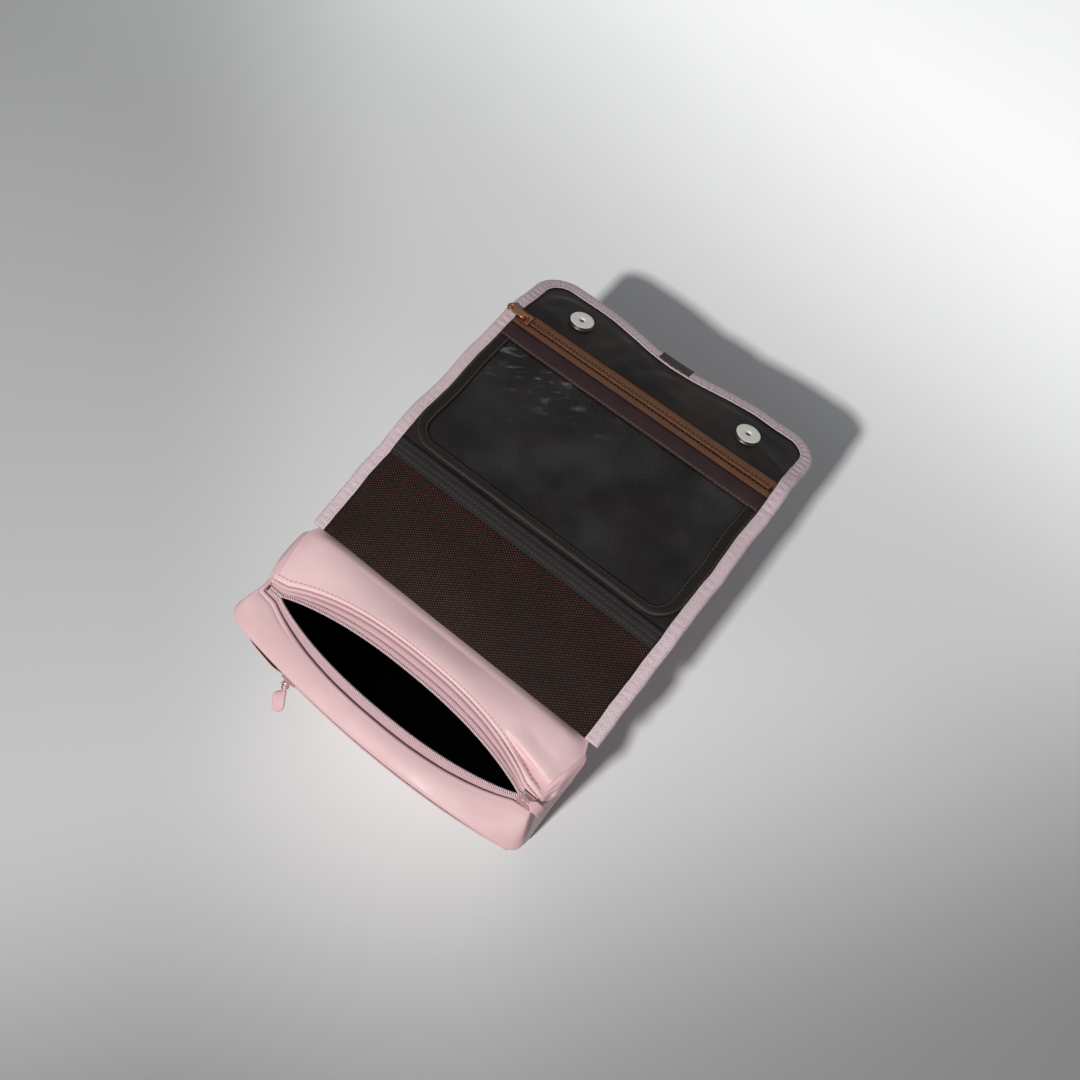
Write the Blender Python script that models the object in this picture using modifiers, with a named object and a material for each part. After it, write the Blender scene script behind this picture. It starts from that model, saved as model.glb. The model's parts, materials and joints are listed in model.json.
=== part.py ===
"""Hanging travel wash bag, opened: an upright zip pouch with a folding flap of pockets.

Row frame in metres: the origin is the middle of the base on the floor, +X is right seen from the front,
+Y is back and +Z is up. Each flap panel, slider and puller hangs from an empty on its joint's axis.
"""
import math

import bmesh
import bpy
from mathutils import Euler, Matrix, Vector

MM = 0.001

# Driving sizes
POUCH_DEPTH = 72 * MM
POUCH_HEIGHT = 190 * MM
FRONT_BOW = 9 * MM
WALL = 3 * MM
SKIN = 2 * MM
STRIP = 2.4 * MM
CLOTH = 0.8 * MM
FIT = 0.3 * MM
GUSSET_EASE = 0.6 * MM
GUSSET_TUCK = 5 * MM
LINING_WALL = 1 * MM
LINING_EASE = 1 * MM
LINING_DROP = 5.3 * MM
BOARD_THICK = 2 * MM
BOARD_INSET = 4 * MM

MOUTH_Y = -8.5 * MM
MOUTH_HALF_LENGTH = 108 * MM
MOUTH_END = 10 * MM
MOUTH_HALF_GAP = 15 * MM
MOUTH_TIP_GAP = 2.4 * MM
TAPE_SHOWN = 8 * MM
TAPE_HIDDEN = 4 * MM
TEETH_RADIUS = 1.2 * MM
TEETH_PITCH = 3 * MM
LIP_RISE = 2.5 * MM
END_LENGTH = 7 * MM
END_THICK = 2.6 * MM
END_GAP = 1.1 * MM

POCKET_ZIP_DROP = 18 * MM
POCKET_TAPE = 6.7 * MM
POCKET_SLIDER_X = -61 * MM
POCKET_COIL_INSET = 12 * MM
COIL_RADIUS = 1.3 * MM
COIL_PROUD = 0.4 * MM

FLAP_OVERHANG = 0.6 * MM
BINDING_WIDTH = 9 * MM
ROOT_REACH = 6.5 * MM
ROOT_DROP = 8.5 * MM
HINGE_REACH = 3.5 * MM
ROOT_LENGTH = 83 * MM
ROOT_TILT = 7.0
MID_LENGTH = 128 * MM
MID_TILT = -2.0
TIP_LENGTH = 51 * MM
TIP_TILT = -23.0
TIP_CORNER = 23 * MM
NOTCH_DEPTH = 9 * MM
NOTCH_REACH = 70 * MM
FLAP_SKIN = 1.2 * MM
CREASE_LIFT = 4 * MM
CLOSED_RISE = 1.2 * MM

MESH_START = 0.5 * MM
MESH_SLACK = 4 * MM
HEM_WIDTH = 12.7 * MM
WINDOW_FRAME = 9 * MM
WINDOW_SILL = 6 * MM
WINDOW_CORNER = 20 * MM
HEADER_WIDTH = 11.5 * MM
WINDOW_TAPE_LOWER = 7.5 * MM
WINDOW_TAPE_UPPER = 7 * MM
WINDOW_COIL_INSET = 3 * MM
WINDOW_SLIDER_INSET = 8 * MM
SNAP_X = 72 * MM
SNAP_S = 18.5 * MM
SNAP_RADIUS = 9 * MM
SNAP_HOLE = 2.6 * MM
SNAP_CAP_THICK = 3.8 * MM
SNAP_SOCKET_THICK = 2.4 * MM
TAB_WIDTH = 26 * MM
TAB_DEPTH = 8 * MM
MAIN_SLIDER_INSET = 4 * MM
SLIDER_HALF_LENGTH = 4.6 * MM
SLIDER_HALF_WIDTH = 4 * MM
SLIDER_SEAT = 1.6 * MM
SLIDER_PLATE = 1.5 * MM
SLIDER_SOLE = 1.3 * MM
SLIDER_NECK = 1.4 * MM
BRIDGE_LENGTH = 5 * MM
BRIDGE_WIDTH = 2 * MM
BRIDGE_TOP = 6.6 * MM
PIN_HEIGHT = 5 * MM
PIN_RADIUS = 0.85 * MM
EYE_RADIUS = 1.25 * MM
ARM_WIDTH = 1.3 * MM
ARM_SPREAD = 1.7 * MM
ARM_LENGTH = 8 * MM
PULLER_THICK = 1.4 * MM
MAIN_PULLER_LENGTH = 17 * MM
MAIN_PULLER_WIDTH = 7.5 * MM
WINDOW_PULLER_LENGTH = 16 * MM
WINDOW_PULLER_WIDTH = 6.4 * MM
POCKET_PULLER_LENGTH = 21 * MM
POCKET_PULLER_WIDTH = 8.5 * MM

HALF_W = MOUTH_HALF_LENGTH + MOUTH_END
HALF_D = POUCH_DEPTH / 2
BOW_RADIUS = (HALF_W ** 2 + FRONT_BOW ** 2) / (2 * FRONT_BOW)
STRIP_Z = POUCH_HEIGHT - LIP_RISE - STRIP / 2 + 0.2 * MM
WALL_TOP = STRIP_Z - STRIP / 2 - FIT
TAPE_Z = STRIP_Z + LIP_RISE - STRIP / 2 - FIT - CLOTH / 2 - 0.2 * MM
FLAP_HALF = HALF_W + FLAP_OVERHANG
INNER_HALF = FLAP_HALF - BINDING_WIDTH - 0.6 * MM
ON_LINING = CLOTH + FIT
UNDER_LINING = -(CLOTH / 2 + FIT + FLAP_SKIN / 2)
OVER_SHEET = ON_LINING + CLOTH + FIT
ROOT_START = (HALF_D + ROOT_REACH, POUCH_HEIGHT - ROOT_DROP)
HINGE_AXIS = (HALF_D + HINGE_REACH, POUCH_HEIGHT)
POCKET_ZIP_Z = POUCH_HEIGHT - POCKET_ZIP_DROP
MESH_LENGTH = ROOT_LENGTH - HEM_WIDTH - 0.8 * MM
WINDOW_ZIP_S = MID_LENGTH - WINDOW_TAPE_UPPER
HEADER_TOP = WINDOW_ZIP_S - WINDOW_TAPE_LOWER
WINDOW_TOP = HEADER_TOP - HEADER_WIDTH
SOCKET_Z = POUCH_HEIGHT + CLOSED_RISE - MID_LENGTH - SNAP_S
MAIN_SLIDER_X = MOUTH_HALF_LENGTH - MAIN_SLIDER_INSET
WINDOW_SLIDER_X = WINDOW_SLIDER_INSET - INNER_HALF

PINK = (229, 199, 200)
BINDING_PINK = (217, 190, 200)
ZIP_PINK = (226, 170, 182)
LINING = (50, 42, 38)
MESH = (45, 28, 25)
HEADER = (60, 42, 45)
COPPER = (150, 92, 58)
NICKEL = (230, 230, 222)
CLEAR = (205, 205, 208)
BOARD = (60, 56, 54)


def linear(rgb):
    """Display colour 0..255 as a linear RGBA colour."""
    return [((c / 255 + 0.055) / 1.055) ** 2.4 if c > 10 else c / 255 / 12.92 for c in rgb] + [1.0]


def dress(obj, rgb, roughness, metallic=0.0):
    """Gives an object its own Principled material."""
    mat = bpy.data.materials.new(obj.name)
    mat.use_nodes = True
    shader = mat.node_tree.nodes["Principled BSDF"]
    shader.inputs["Base Color"].default_value = linear(rgb)
    shader.inputs["Roughness"].default_value = roughness
    shader.inputs["Metallic"].default_value = metallic
    obj.data.materials.clear()
    obj.data.materials.append(mat)
    return obj


def new_object(name, data, parent=None, collection=None):
    """Links a new object to a collection, under a parent whose frame it is modelled in."""
    obj = bpy.data.objects.new(name, data)
    (collection or PARTS).objects.link(obj)
    obj.parent = parent
    return obj


def sheet(name, place, nu, nv, thickness, parent=None):
    """A cloth or skin: a grid of nu by nv cells laid by place(u, v), thickened to both sides."""
    bm = bmesh.new()
    bmesh.ops.create_grid(bm, x_segments=nu, y_segments=nv, size=0.5)
    for vert in bm.verts:
        vert.co = Vector(place(vert.co.x + 0.5, vert.co.y + 0.5))
    mesh = bpy.data.meshes.new(name)
    bm.to_mesh(mesh)
    bm.free()
    obj = new_object(name, mesh, parent)
    solid = obj.modifiers.new("Thickness", "SOLIDIFY")
    solid.thickness = thickness
    solid.offset = 0.0
    solid.use_even_offset = True
    return obj


def tube(name, points, radius, parent=None, sides=1):
    """A round bar along points."""
    curve = bpy.data.curves.new(name, "CURVE")
    curve.dimensions = "3D"
    curve.bevel_depth = radius
    curve.bevel_resolution = sides
    curve.use_fill_caps = True
    spline = curve.splines.new("POLY")
    spline.points.add(len(points) - 1)
    for point, place in zip(spline.points, points):
        point.co = (*place, 1.0)
    return new_object(name, curve, parent)


def plate(name, outline, height, parent=None):
    """A flat outline in the XY plane, thickened up from z = 0."""
    curve = bpy.data.curves.new(name, "CURVE")
    curve.dimensions = "2D"
    curve.fill_mode = "BOTH"
    curve.extrude = height / 2
    spline = curve.splines.new("POLY")
    spline.points.add(len(outline) - 1)
    for point, (x, y) in zip(spline.points, outline):
        point.co = (x, y, 0.0, 1.0)
    spline.use_cyclic_u = True
    return new_object(name, curve, parent)


def box_mesh(name, low, high):
    """A block between two corners, as mesh data."""
    bm = bmesh.new()
    middle = [(a + b) / 2 for a, b in zip(low, high)]
    size = [b - a for a, b in zip(low, high)]
    bmesh.ops.create_cube(bm, size=1.0, matrix=Matrix.Translation(middle) @ Matrix.Diagonal((*size, 1.0)))
    mesh = bpy.data.meshes.new(name)
    bm.to_mesh(mesh)
    bm.free()
    return mesh


def rod_mesh(name, radius, length, axis="Z", sides=20):
    """A round rod about the origin, as mesh data."""
    bm = bmesh.new()
    turn = Euler((math.pi / 2, 0, 0) if axis == "Y" else (0, 0, 0)).to_matrix().to_4x4()
    bmesh.ops.create_cone(bm, cap_ends=True, segments=sides, radius1=radius, radius2=radius, depth=length,
                          matrix=turn)
    mesh = bpy.data.meshes.new(name)
    bm.to_mesh(mesh)
    bm.free()
    return mesh


def combine(obj, mesh, operation, at=(0, 0, 0)):
    """Adds a Boolean of obj with a hidden tool that shares its parent and its frame."""
    tool = new_object(f"{obj.name}_{operation.lower()}_{len(obj.modifiers)}", mesh, obj, TOOLS)
    tool.location = at
    tool.hide_render = True
    tool.display_type = "WIRE"
    step = obj.modifiers.new(operation.title(), "BOOLEAN")
    step.operation = operation
    step.solver = "EXACT"
    step.object = tool


def axis_empty(name, at, parent=None, rotation=(0, 0, 0)):
    """An empty on a joint's axis."""
    empty = new_object(name, None, parent)
    empty.location = at
    empty.rotation_euler = rotation
    return empty


def lerp(a, b, t):
    return a + (b - a) * t


# Pouch surfaces
def front_y(x):
    """Outer face of the bowed front, an arc about a far vertical axis."""
    return BOW_RADIUS - HALF_D - FRONT_BOW - math.sqrt(BOW_RADIUS ** 2 - x ** 2)


def teeth_y(x, side):
    """Line of the zip teeth at x, behind (+1) or in front (-1) of the mouth's middle."""
    t = min(abs(x) / MOUTH_HALF_LENGTH, 1.0)
    return MOUTH_Y + side * (MOUTH_TIP_GAP + (MOUTH_HALF_GAP - MOUTH_TIP_GAP) * (1 - t ** 2.6))


def front_layer(name, z0, z1, depth, thickness, nu=16, nv=4, half=HALF_W):
    """A panel that follows the bowed front, its middle depth behind the outer face."""
    return sheet(name, lambda u, v: (lerp(-half, half, u), front_y(lerp(-half, half, u)) + depth,
                                     lerp(z0, z1, v)), nu, nv, thickness)


def top_strip(name, side):
    """Strip from the pouch's top edge to the lip beside the zip tape."""
    def place(u, v):
        x = lerp(-HALF_W, HALF_W, u)
        edge = HALF_D if side > 0 else front_y(x)
        lip = teeth_y(x, side) + side * TAPE_SHOWN
        return x, lerp(edge, lip, v), STRIP_Z + LIP_RISE * math.sin(v * math.pi / 2)
    return sheet(name, place, 24, 4, STRIP)


def mouth_tape(name, side):
    """Zip tape from beside the teeth to under the strip."""
    def place(u, v):
        x = lerp(-MOUTH_HALF_LENGTH, MOUTH_HALF_LENGTH, u)
        near = TEETH_RADIUS + FIT + 0.2 * MM
        return x, teeth_y(x, side) + side * lerp(near, TAPE_SHOWN + TAPE_HIDDEN, v), TAPE_Z
    return sheet(name, place, 24, 1, CLOTH)


def mouth_teeth(name, side):
    """Row of zip teeth as one notched strip along the tape's edge."""
    count = int(2 * MOUTH_HALF_LENGTH / TEETH_PITCH) * 2

    def place(u, v):
        x = lerp(-MOUTH_HALF_LENGTH, MOUTH_HALF_LENGTH, u)
        tooth = 0.0 if round(u * count) % 2 else 0.5 * MM
        reach = TEETH_RADIUS - (tooth if v < 0.5 else 0.0)
        return x, teeth_y(x, side) + side * (v * 2 - 1) * reach, TAPE_Z
    return sheet(name, place, count, 1, 2 * TEETH_RADIUS)


def pouch():
    """Panels, linings and zips of the standing pouch."""
    arc = [(lerp(-HALF_W, HALF_W, i / 16), front_y(lerp(-HALF_W, HALF_W, i / 16))) for i in range(17)]
    bottom = plate("bottom_panel", arc + [(HALF_W, HALF_D), (-HALF_W, HALF_D)], WALL)
    bottom.location.z = WALL / 2
    dress(bottom, PINK, 0.5)
    foot = WALL + FIT
    skin_depth, wall_depth = SKIN / 2, SKIN + FIT + WALL / 2
    back = sheet("back_panel", lambda u, v: (lerp(-HALF_W, HALF_W, u), HALF_D - WALL / 2,
                                             lerp(foot, WALL_TOP, v)), 8, 4, WALL)
    dress(back, PINK, 0.5)
    dress(front_layer("front_panel", foot, WALL_TOP, wall_depth, WALL), PINK, 0.5)
    for side, word in ((-1, "left"), (1, "right")):
        y0 = front_y(HALF_W) + SKIN + WALL + 2 * FIT + GUSSET_EASE
        y1 = HALF_D - WALL - FIT - GUSSET_EASE

        def gusset(u, v, side=side, y0=y0, y1=y1):
            tuck = GUSSET_TUCK * math.sin(u * math.pi) * math.sin(v * math.pi) ** 0.8
            return side * (HALF_W - WALL / 2 - tuck), lerp(y0, y1, u), lerp(foot, WALL_TOP, v)
        dress(sheet(f"{word}_gusset", gusset, 6, 8, WALL), PINK, 0.5)
        end_half = MOUTH_TIP_GAP + TAPE_SHOWN - CLOTH
        tab = new_object(f"main_zip_end_{word}", box_mesh("end", (-END_LENGTH / 2, -end_half, -END_THICK / 2),
                                                          (END_LENGTH / 2, end_half, END_THICK / 2)))
        tab.location = (side * (MOUTH_HALF_LENGTH + END_GAP + END_LENGTH / 2), MOUTH_Y, TAPE_Z + 0.2 * MM)
        dress(tab, ZIP_PINK, 0.6)

    inside_x = HALF_W - WALL - GUSSET_TUCK
    inside_front, inside_back = -HALF_D + SKIN + FIT + WALL, HALF_D - WALL
    board = new_object("base_board", box_mesh(
        "board", (BOARD_INSET - inside_x, inside_front + BOARD_INSET, foot),
        (inside_x - BOARD_INSET, inside_back - BOARD_INSET, foot + BOARD_THICK)))
    dress(board, BOARD, 0.7)

    low = (LINING_EASE - inside_x, inside_front + LINING_EASE, foot + BOARD_THICK + FIT)
    high = (inside_x - LINING_EASE, inside_back - LINING_EASE, TAPE_Z - LINING_DROP)
    lining = new_object("pouch_lining", box_mesh("lining", low, high))
    hollow = box_mesh("hollow", [value + LINING_WALL for value in low],
                      (high[0] - LINING_WALL, high[1] - LINING_WALL, high[2] + WALL))
    combine(lining, hollow, "DIFFERENCE")
    dress(lining, LINING, 0.45)

    dress(top_strip("top_back_strip", 1), PINK, 0.5)
    dress(top_strip("top_front_strip", -1), PINK, 0.5)
    for side, word in ((1, "back"), (-1, "front")):
        dress(mouth_tape(f"main_zip_tape_{word}", side), ZIP_PINK, 0.7)
        dress(mouth_teeth(f"main_zip_teeth_{word}", side), ZIP_PINK, 0.35)

    below, above = POCKET_ZIP_Z - POCKET_TAPE - FIT, POCKET_ZIP_Z + POCKET_TAPE + FIT
    dress(front_layer("front_pocket_panel", foot, below, skin_depth, SKIN), PINK, 0.5)
    dress(front_layer("front_top_band", above, WALL_TOP, skin_depth, SKIN, nv=1), PINK, 0.5)
    near = COIL_RADIUS + FIT
    dress(front_layer("pocket_zip_tape_lower", below + FIT, POCKET_ZIP_Z - near, skin_depth, CLOTH, nv=1),
          ZIP_PINK, 0.7)
    dress(front_layer("pocket_zip_tape_upper", POCKET_ZIP_Z + near, above - FIT, skin_depth, CLOTH, nv=1),
          ZIP_PINK, 0.7)
    end = HALF_W - POCKET_COIL_INSET
    run = [lerp(-end, end, i / 24) for i in range(25)]
    coil = tube("pocket_zip_coil", [(x, front_y(x) - COIL_PROUD, POCKET_ZIP_Z) for x in run], COIL_RADIUS)
    dress(coil, ZIP_PINK, 0.4)
    for side, word in ((-1, "left"), (1, "right")):
        x = side * SNAP_X
        slope = math.asin(x / BOW_RADIUS)
        socket = axis_empty(f"socket_seat_{word}", (x, front_y(x), SOCKET_Z), None, (math.pi / 2, 0, slope))
        snap(f"snap_socket_{word}", socket, SNAP_SOCKET_THICK)

    y0, z0 = HALF_D + 0.4 * MM, ROOT_START[1] - 2 * MM

    def fold(u, v):
        return (lerp(-INNER_HALF, INNER_HALF, u), lerp(y0, ROOT_START[0] - 0.5 * MM, v),
                lerp(z0, ROOT_START[1], v) - 1.6 * MM * math.sin(v * math.pi))
    dress(sheet("flap_fold_strip", fold, 8, 4, FLAP_SKIN), LINING, 0.5)


def snap(name, seat, thickness):
    """Magnetic snap disc with a hole in its middle, on its seat."""
    disc = new_object(name, rod_mesh(name, SNAP_RADIUS, thickness, sides=32), seat)
    disc.location.z = FIT + thickness / 2
    combine(disc, rod_mesh(name, SNAP_HOLE, 4 * thickness, sides=16), "DIFFERENCE")
    edge = disc.modifiers.new("Round", "BEVEL")
    edge.width = 0.5 * MM
    edge.segments = 2
    edge.limit_method = "ANGLE"
    dress(disc, NICKEL, 0.25, 1.0)


# Flap surfaces: each panel is modelled in its own frame, x across, y along and z out of the lining
def tip_edge(x, inset=0.0):
    """How far the tip reaches at x, with its notch in the middle."""
    dip = NOTCH_DEPTH * (1 + math.cos(math.pi * min(abs(x) / NOTCH_REACH, 1.0))) / 2
    return TIP_LENGTH - inset - dip


def tip_half(s, inset=0.0):
    """Half width of the tip at s, with its rounded corners."""
    r, reach = TIP_CORNER - inset, TIP_LENGTH - inset
    over = min(max(s - (reach - r), 0.0), r)
    return FLAP_HALF - inset - r + math.sqrt(r * r - over * over)


def panel(name, frame, length, half, depth, thickness, nu=12, nv=6, start=0.0):
    """A flat rectangle of the flap at a depth from its lining."""
    return sheet(name, lambda u, v: (lerp(-half, half, u), lerp(start, length, v), depth), nu, nv, thickness,
                 frame)


def tip_panel(name, frame, depth, thickness):
    """The tip's outline, inset under the binding."""
    inset = 1.6 * MM

    def place(u, v):
        s = v * (TIP_LENGTH - inset)
        x = lerp(-1, 1, u) * tip_half(s, inset)
        return x, s - v * v * (TIP_LENGTH - inset - tip_edge(x, inset)), depth
    return sheet(name, place, 24, 8, thickness, frame)


def wrap(v, width, top, under):
    """Cross-section of a tape folded round an edge: distance in from the edge and depth at v."""
    round_r = 0.6 * MM
    points = [(width, top), (width / 2, top), (round_r, top), (0, top - round_r),
              (0, under + round_r), (round_r, under), (width / 2, under), (width, under)]
    return points[round(v * 7)]


BIND_TOP = ON_LINING
BIND_UNDER = -(CLOTH + FIT + FLAP_SKIN + FIT)


def crease_gap(before, after):
    """Gap at the lining between two panels that bend down by their change of tilt about a lifted axis."""
    depth = CREASE_LIFT - BIND_UNDER + CLOTH / 2
    return 2 * depth * math.tan(math.radians(before - after) / 2) + FIT


def side_binding(name, frame, side, length):
    """Edge tape along one side of a panel."""
    def place(u, v):
        inward, depth = wrap(v, BINDING_WIDTH, BIND_TOP, BIND_UNDER)
        return side * (FLAP_HALF - CLOTH / 2 - inward), u * length, depth
    return dress(sheet(name, place, 6, 7, CLOTH, frame), BINDING_PINK, 0.7)


def tip_path(u):
    """Point and inward direction on the tip's outline, from the left crease round to the right."""
    r, reach, half = TIP_CORNER, TIP_LENGTH - CLOTH / 2, FLAP_HALF - CLOTH / 2
    side, arc, top = reach - r, r * math.pi / 2, 2 * (half - r)
    t = u * (2 * side + 2 * arc + top)
    mirror = 1.0
    if t > side + arc + top / 2:
        t, mirror = 2 * side + 2 * arc + top - t, -1.0
    if t < side:
        return (-half * mirror, t), (mirror, 0.0)
    if t < side + arc:
        turn = (t - side) / r
        out = (-math.cos(turn) * mirror, math.sin(turn))
        return ((-half + r) * mirror + out[0] * r, reach - r + out[1] * r), (-out[0], -out[1])
    x = (-half + r + (t - side - arc)) * mirror
    return (x, tip_edge(x, CLOTH / 2)), (0.0, -1.0)


def flap():
    """Three stiff panels of the flap, each on the crease before it."""
    root_axis = axis_empty("flap_hinge_axis", (0, *HINGE_AXIS))
    root = axis_empty("root_frame", (0, ROOT_START[0] - HINGE_AXIS[0], ROOT_START[1] - HINGE_AXIS[1]),
                      root_axis, (math.radians(ROOT_TILT), 0, 0))
    mid_gap, tip_gap = crease_gap(ROOT_TILT, MID_TILT), crease_gap(MID_TILT, TIP_TILT)
    crease = axis_empty("crease_axis", (0, ROOT_LENGTH + mid_gap / 2, CREASE_LIFT), root,
                        (math.radians(MID_TILT - ROOT_TILT), 0, 0))
    mid = axis_empty("mid_frame", (0, mid_gap / 2, -CREASE_LIFT), crease)
    bend = axis_empty("tip_axis", (0, MID_LENGTH + tip_gap / 2, CREASE_LIFT), mid,
                      (math.radians(TIP_TILT - MID_TILT), 0, 0))
    tip = axis_empty("tip_frame", (0, tip_gap / 2, -CREASE_LIFT), bend)
    core_half = FLAP_HALF - CLOTH - FIT - 0.4 * MM

    dress(panel("root_outer", root, ROOT_LENGTH, core_half, UNDER_LINING, FLAP_SKIN), PINK, 0.5)
    dress(panel("root_lining", root, ROOT_LENGTH, core_half, 0.0, CLOTH), LINING, 0.35)

    def net(u, v):
        slack = MESH_SLACK * (1 - (2 * u - 1) ** 2) * math.sin(math.pi * v) ** 0.7
        return lerp(-INNER_HALF, INNER_HALF, u), lerp(MESH_START, MESH_LENGTH, v), ON_LINING + slack
    dress(sheet("mesh_pocket", net, 14, 8, CLOTH, root), MESH, 0.8)
    dress(panel("mesh_hem", root, MESH_LENGTH + FIT + HEM_WIDTH, INNER_HALF, ON_LINING, CLOTH, 8, 2,
                MESH_LENGTH + FIT), MESH, 0.7)

    dress(panel("mid_outer", mid, MID_LENGTH, core_half, UNDER_LINING, FLAP_SKIN), PINK, 0.5)
    dress(panel("mid_lining", mid, MID_LENGTH, core_half, 0.0, CLOTH), LINING, 0.35)
    dress(panel("window_sheet", mid, WINDOW_TOP, INNER_HALF - 1 * MM, ON_LINING, CLOTH, 10, 6, 1 * MM),
          CLEAR, 0.1)
    dress(window_frame(mid), HEADER, 0.6)
    dress(panel("window_header", mid, HEADER_TOP, INNER_HALF, OVER_SHEET, CLOTH, 8, 2, WINDOW_TOP - 0.2 * MM),
          HEADER, 0.6)
    near = COIL_RADIUS + FIT
    dress(panel("window_zip_tape_lower", mid, WINDOW_ZIP_S - near, INNER_HALF, ON_LINING, CLOTH, 8, 1,
                HEADER_TOP + FIT), COPPER, 0.6)
    dress(panel("window_zip_tape_upper", mid, MID_LENGTH, INNER_HALF, ON_LINING, CLOTH, 8, 1,
                WINDOW_ZIP_S + near), COPPER, 0.6)
    depth = CLOTH / 2 + FIT + COIL_RADIUS
    end = INNER_HALF - WINDOW_COIL_INSET
    coil = tube("window_zip_coil", [(lerp(-end, end, i / 8), WINDOW_ZIP_S, depth) for i in range(9)],
                COIL_RADIUS, mid)
    dress(coil, COPPER, 0.4)

    dress(tip_panel("tip_outer", tip, UNDER_LINING, FLAP_SKIN), PINK, 0.5)
    dress(tip_panel("tip_lining", tip, 0.0, CLOTH), LINING, 0.35)

    def tip_tape(u, v):
        inward, level = wrap(v, BINDING_WIDTH, BIND_TOP, BIND_UNDER)
        (x, s), (dx, ds) = tip_path(u)
        return x + dx * inward, s + ds * inward, level
    dress(sheet("tip_binding", tip_tape, 64, 7, CLOTH, tip), BINDING_PINK, 0.7)

    def hanger(u, v):
        step = CLOTH + FIT
        inward, level = wrap(v, TAB_DEPTH, BIND_TOP + step, BIND_UNDER - step)
        x = lerp(-TAB_WIDTH / 2, TAB_WIDTH / 2, u)
        return x, tip_edge(x) + step - inward, level
    dress(sheet("hanger_tab", hanger, 4, 7, CLOTH, tip), LINING, 0.7)
    for side, word in ((-1, "left"), (1, "right")):
        seat = axis_empty(f"snap_seat_{word}", (side * SNAP_X, SNAP_S, CLOTH / 2), tip)
        snap(f"snap_cap_{word}", seat, SNAP_CAP_THICK)
        side_binding(f"root_binding_{word}", root, side, ROOT_LENGTH)
        side_binding(f"mid_binding_{word}", mid, side, MID_LENGTH)
    return mid, depth


def window_frame(mid):
    """Dark tape round three sides of the window, with rounded lower corners."""
    outer, r = INNER_HALF, WINDOW_CORNER
    side, arc, sill = WINDOW_TOP - 0.6 * MM - r - 0.4 * MM, r * math.pi / 2, 2 * (outer - r)

    def place(u, v):
        t = u * (2 * side + 2 * arc + sill)
        mirror = -1.0
        if t > side + arc + sill / 2:
            t, mirror = 2 * side + 2 * arc + sill - t, 1.0
        width = lerp(WINDOW_FRAME, WINDOW_SILL, min(max((t - side) / arc, 0.0), 1.0)) * v
        top = WINDOW_TOP - 0.6 * MM
        if t < side:
            x, s, dx, ds = outer, top - t, -1.0, 0.0
        elif t < side + arc:
            turn = (t - side) / r
            dx, ds = -math.cos(turn), math.sin(turn)
            x, s = outer - r - dx * r, top - side - ds * r
        else:
            x, s, dx, ds = outer - r - (t - side - arc), top - side - r, 0.0, 1.0
        return mirror * (x + dx * width), s + ds * width, OVER_SHEET
    return sheet("window_binding", place, 44, 1, CLOTH, mid)


# Zips
def slider(name, frame, split, rgb, rough, metal):
    """Zip slider about its line of teeth: x along the zip, z out of the tape.

    A split slider has a neck between the two rows and a sole under them; a plain one straddles its coil.
    """
    long, wide, top = SLIDER_HALF_LENGTH, SLIDER_HALF_WIDTH, SLIDER_SEAT + SLIDER_PLATE
    body = new_object(name, box_mesh(name, (-long, -wide, SLIDER_SEAT), (long, wide, top)), frame)
    if split:
        neck, sole = SLIDER_NECK / 2, -SLIDER_SEAT - 0.1 * MM
        combine(body, box_mesh("neck", (-BRIDGE_LENGTH / 2, -neck, sole - SLIDER_SOLE / 2),
                               (BRIDGE_LENGTH / 2, neck, SLIDER_SEAT + SLIDER_PLATE / 2)), "UNION")
        combine(body, box_mesh("sole", (-long, -wide, sole - SLIDER_SOLE), (long, wide, sole)), "UNION")
    else:
        for y in (-ARM_SPREAD - ARM_WIDTH, ARM_SPREAD):
            combine(body, box_mesh("cheek", (-long, y, -0.25 * MM),
                                   (long, y + ARM_WIDTH, SLIDER_SEAT + SLIDER_PLATE / 2)), "UNION")
    combine(body, box_mesh("bridge", (-BRIDGE_LENGTH / 2, -BRIDGE_WIDTH / 2, top - SLIDER_PLATE / 2),
                           (BRIDGE_LENGTH / 2, BRIDGE_WIDTH / 2, BRIDGE_TOP)), "UNION")
    combine(body, rod_mesh("eye", EYE_RADIUS, 3 * BRIDGE_WIDTH, "Y", 16), "DIFFERENCE", (0, 0, PIN_HEIGHT))
    return dress(body, rgb, rough, metal)


def puller(name, axis, rgb, rough, metal, length, width):
    """Pull tab along +x from its pin, which lies on y through the slider's eye."""
    body = new_object(name, rod_mesh(name, PIN_RADIUS, 2 * (ARM_SPREAD + ARM_WIDTH), "Y", 12), axis)
    thin = PULLER_THICK / 2 - 0.1 * MM
    for y in (-ARM_SPREAD - ARM_WIDTH, ARM_SPREAD):
        combine(body, box_mesh("arm", (-PIN_RADIUS, y, -thin), (ARM_LENGTH, y + ARM_WIDTH, thin)), "UNION")
    half, nose, end = width / 2, ARM_LENGTH - 1.5 * MM, length - width / 2
    outline = [(nose, -half), (end, -half)]
    turns = [math.pi * i / 8 for i in range(1, 8)]
    outline += [(end + half * math.sin(a), -half * math.cos(a)) for a in turns]
    outline += [(end, half), (nose, half)]
    bm = bmesh.new()
    face = bm.faces.new([bm.verts.new((x, y, -PULLER_THICK / 2)) for x, y in outline])
    top = bmesh.ops.extrude_face_region(bm, geom=[face])["geom"]
    bmesh.ops.translate(bm, verts=[g for g in top if isinstance(g, bmesh.types.BMVert)],
                        vec=(0, 0, PULLER_THICK))
    bmesh.ops.recalc_face_normals(bm, faces=bm.faces)
    tab = bpy.data.meshes.new("tab")
    bm.to_mesh(tab)
    bm.free()
    combine(body, tab, "UNION")
    return dress(body, rgb, rough, metal)


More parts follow.
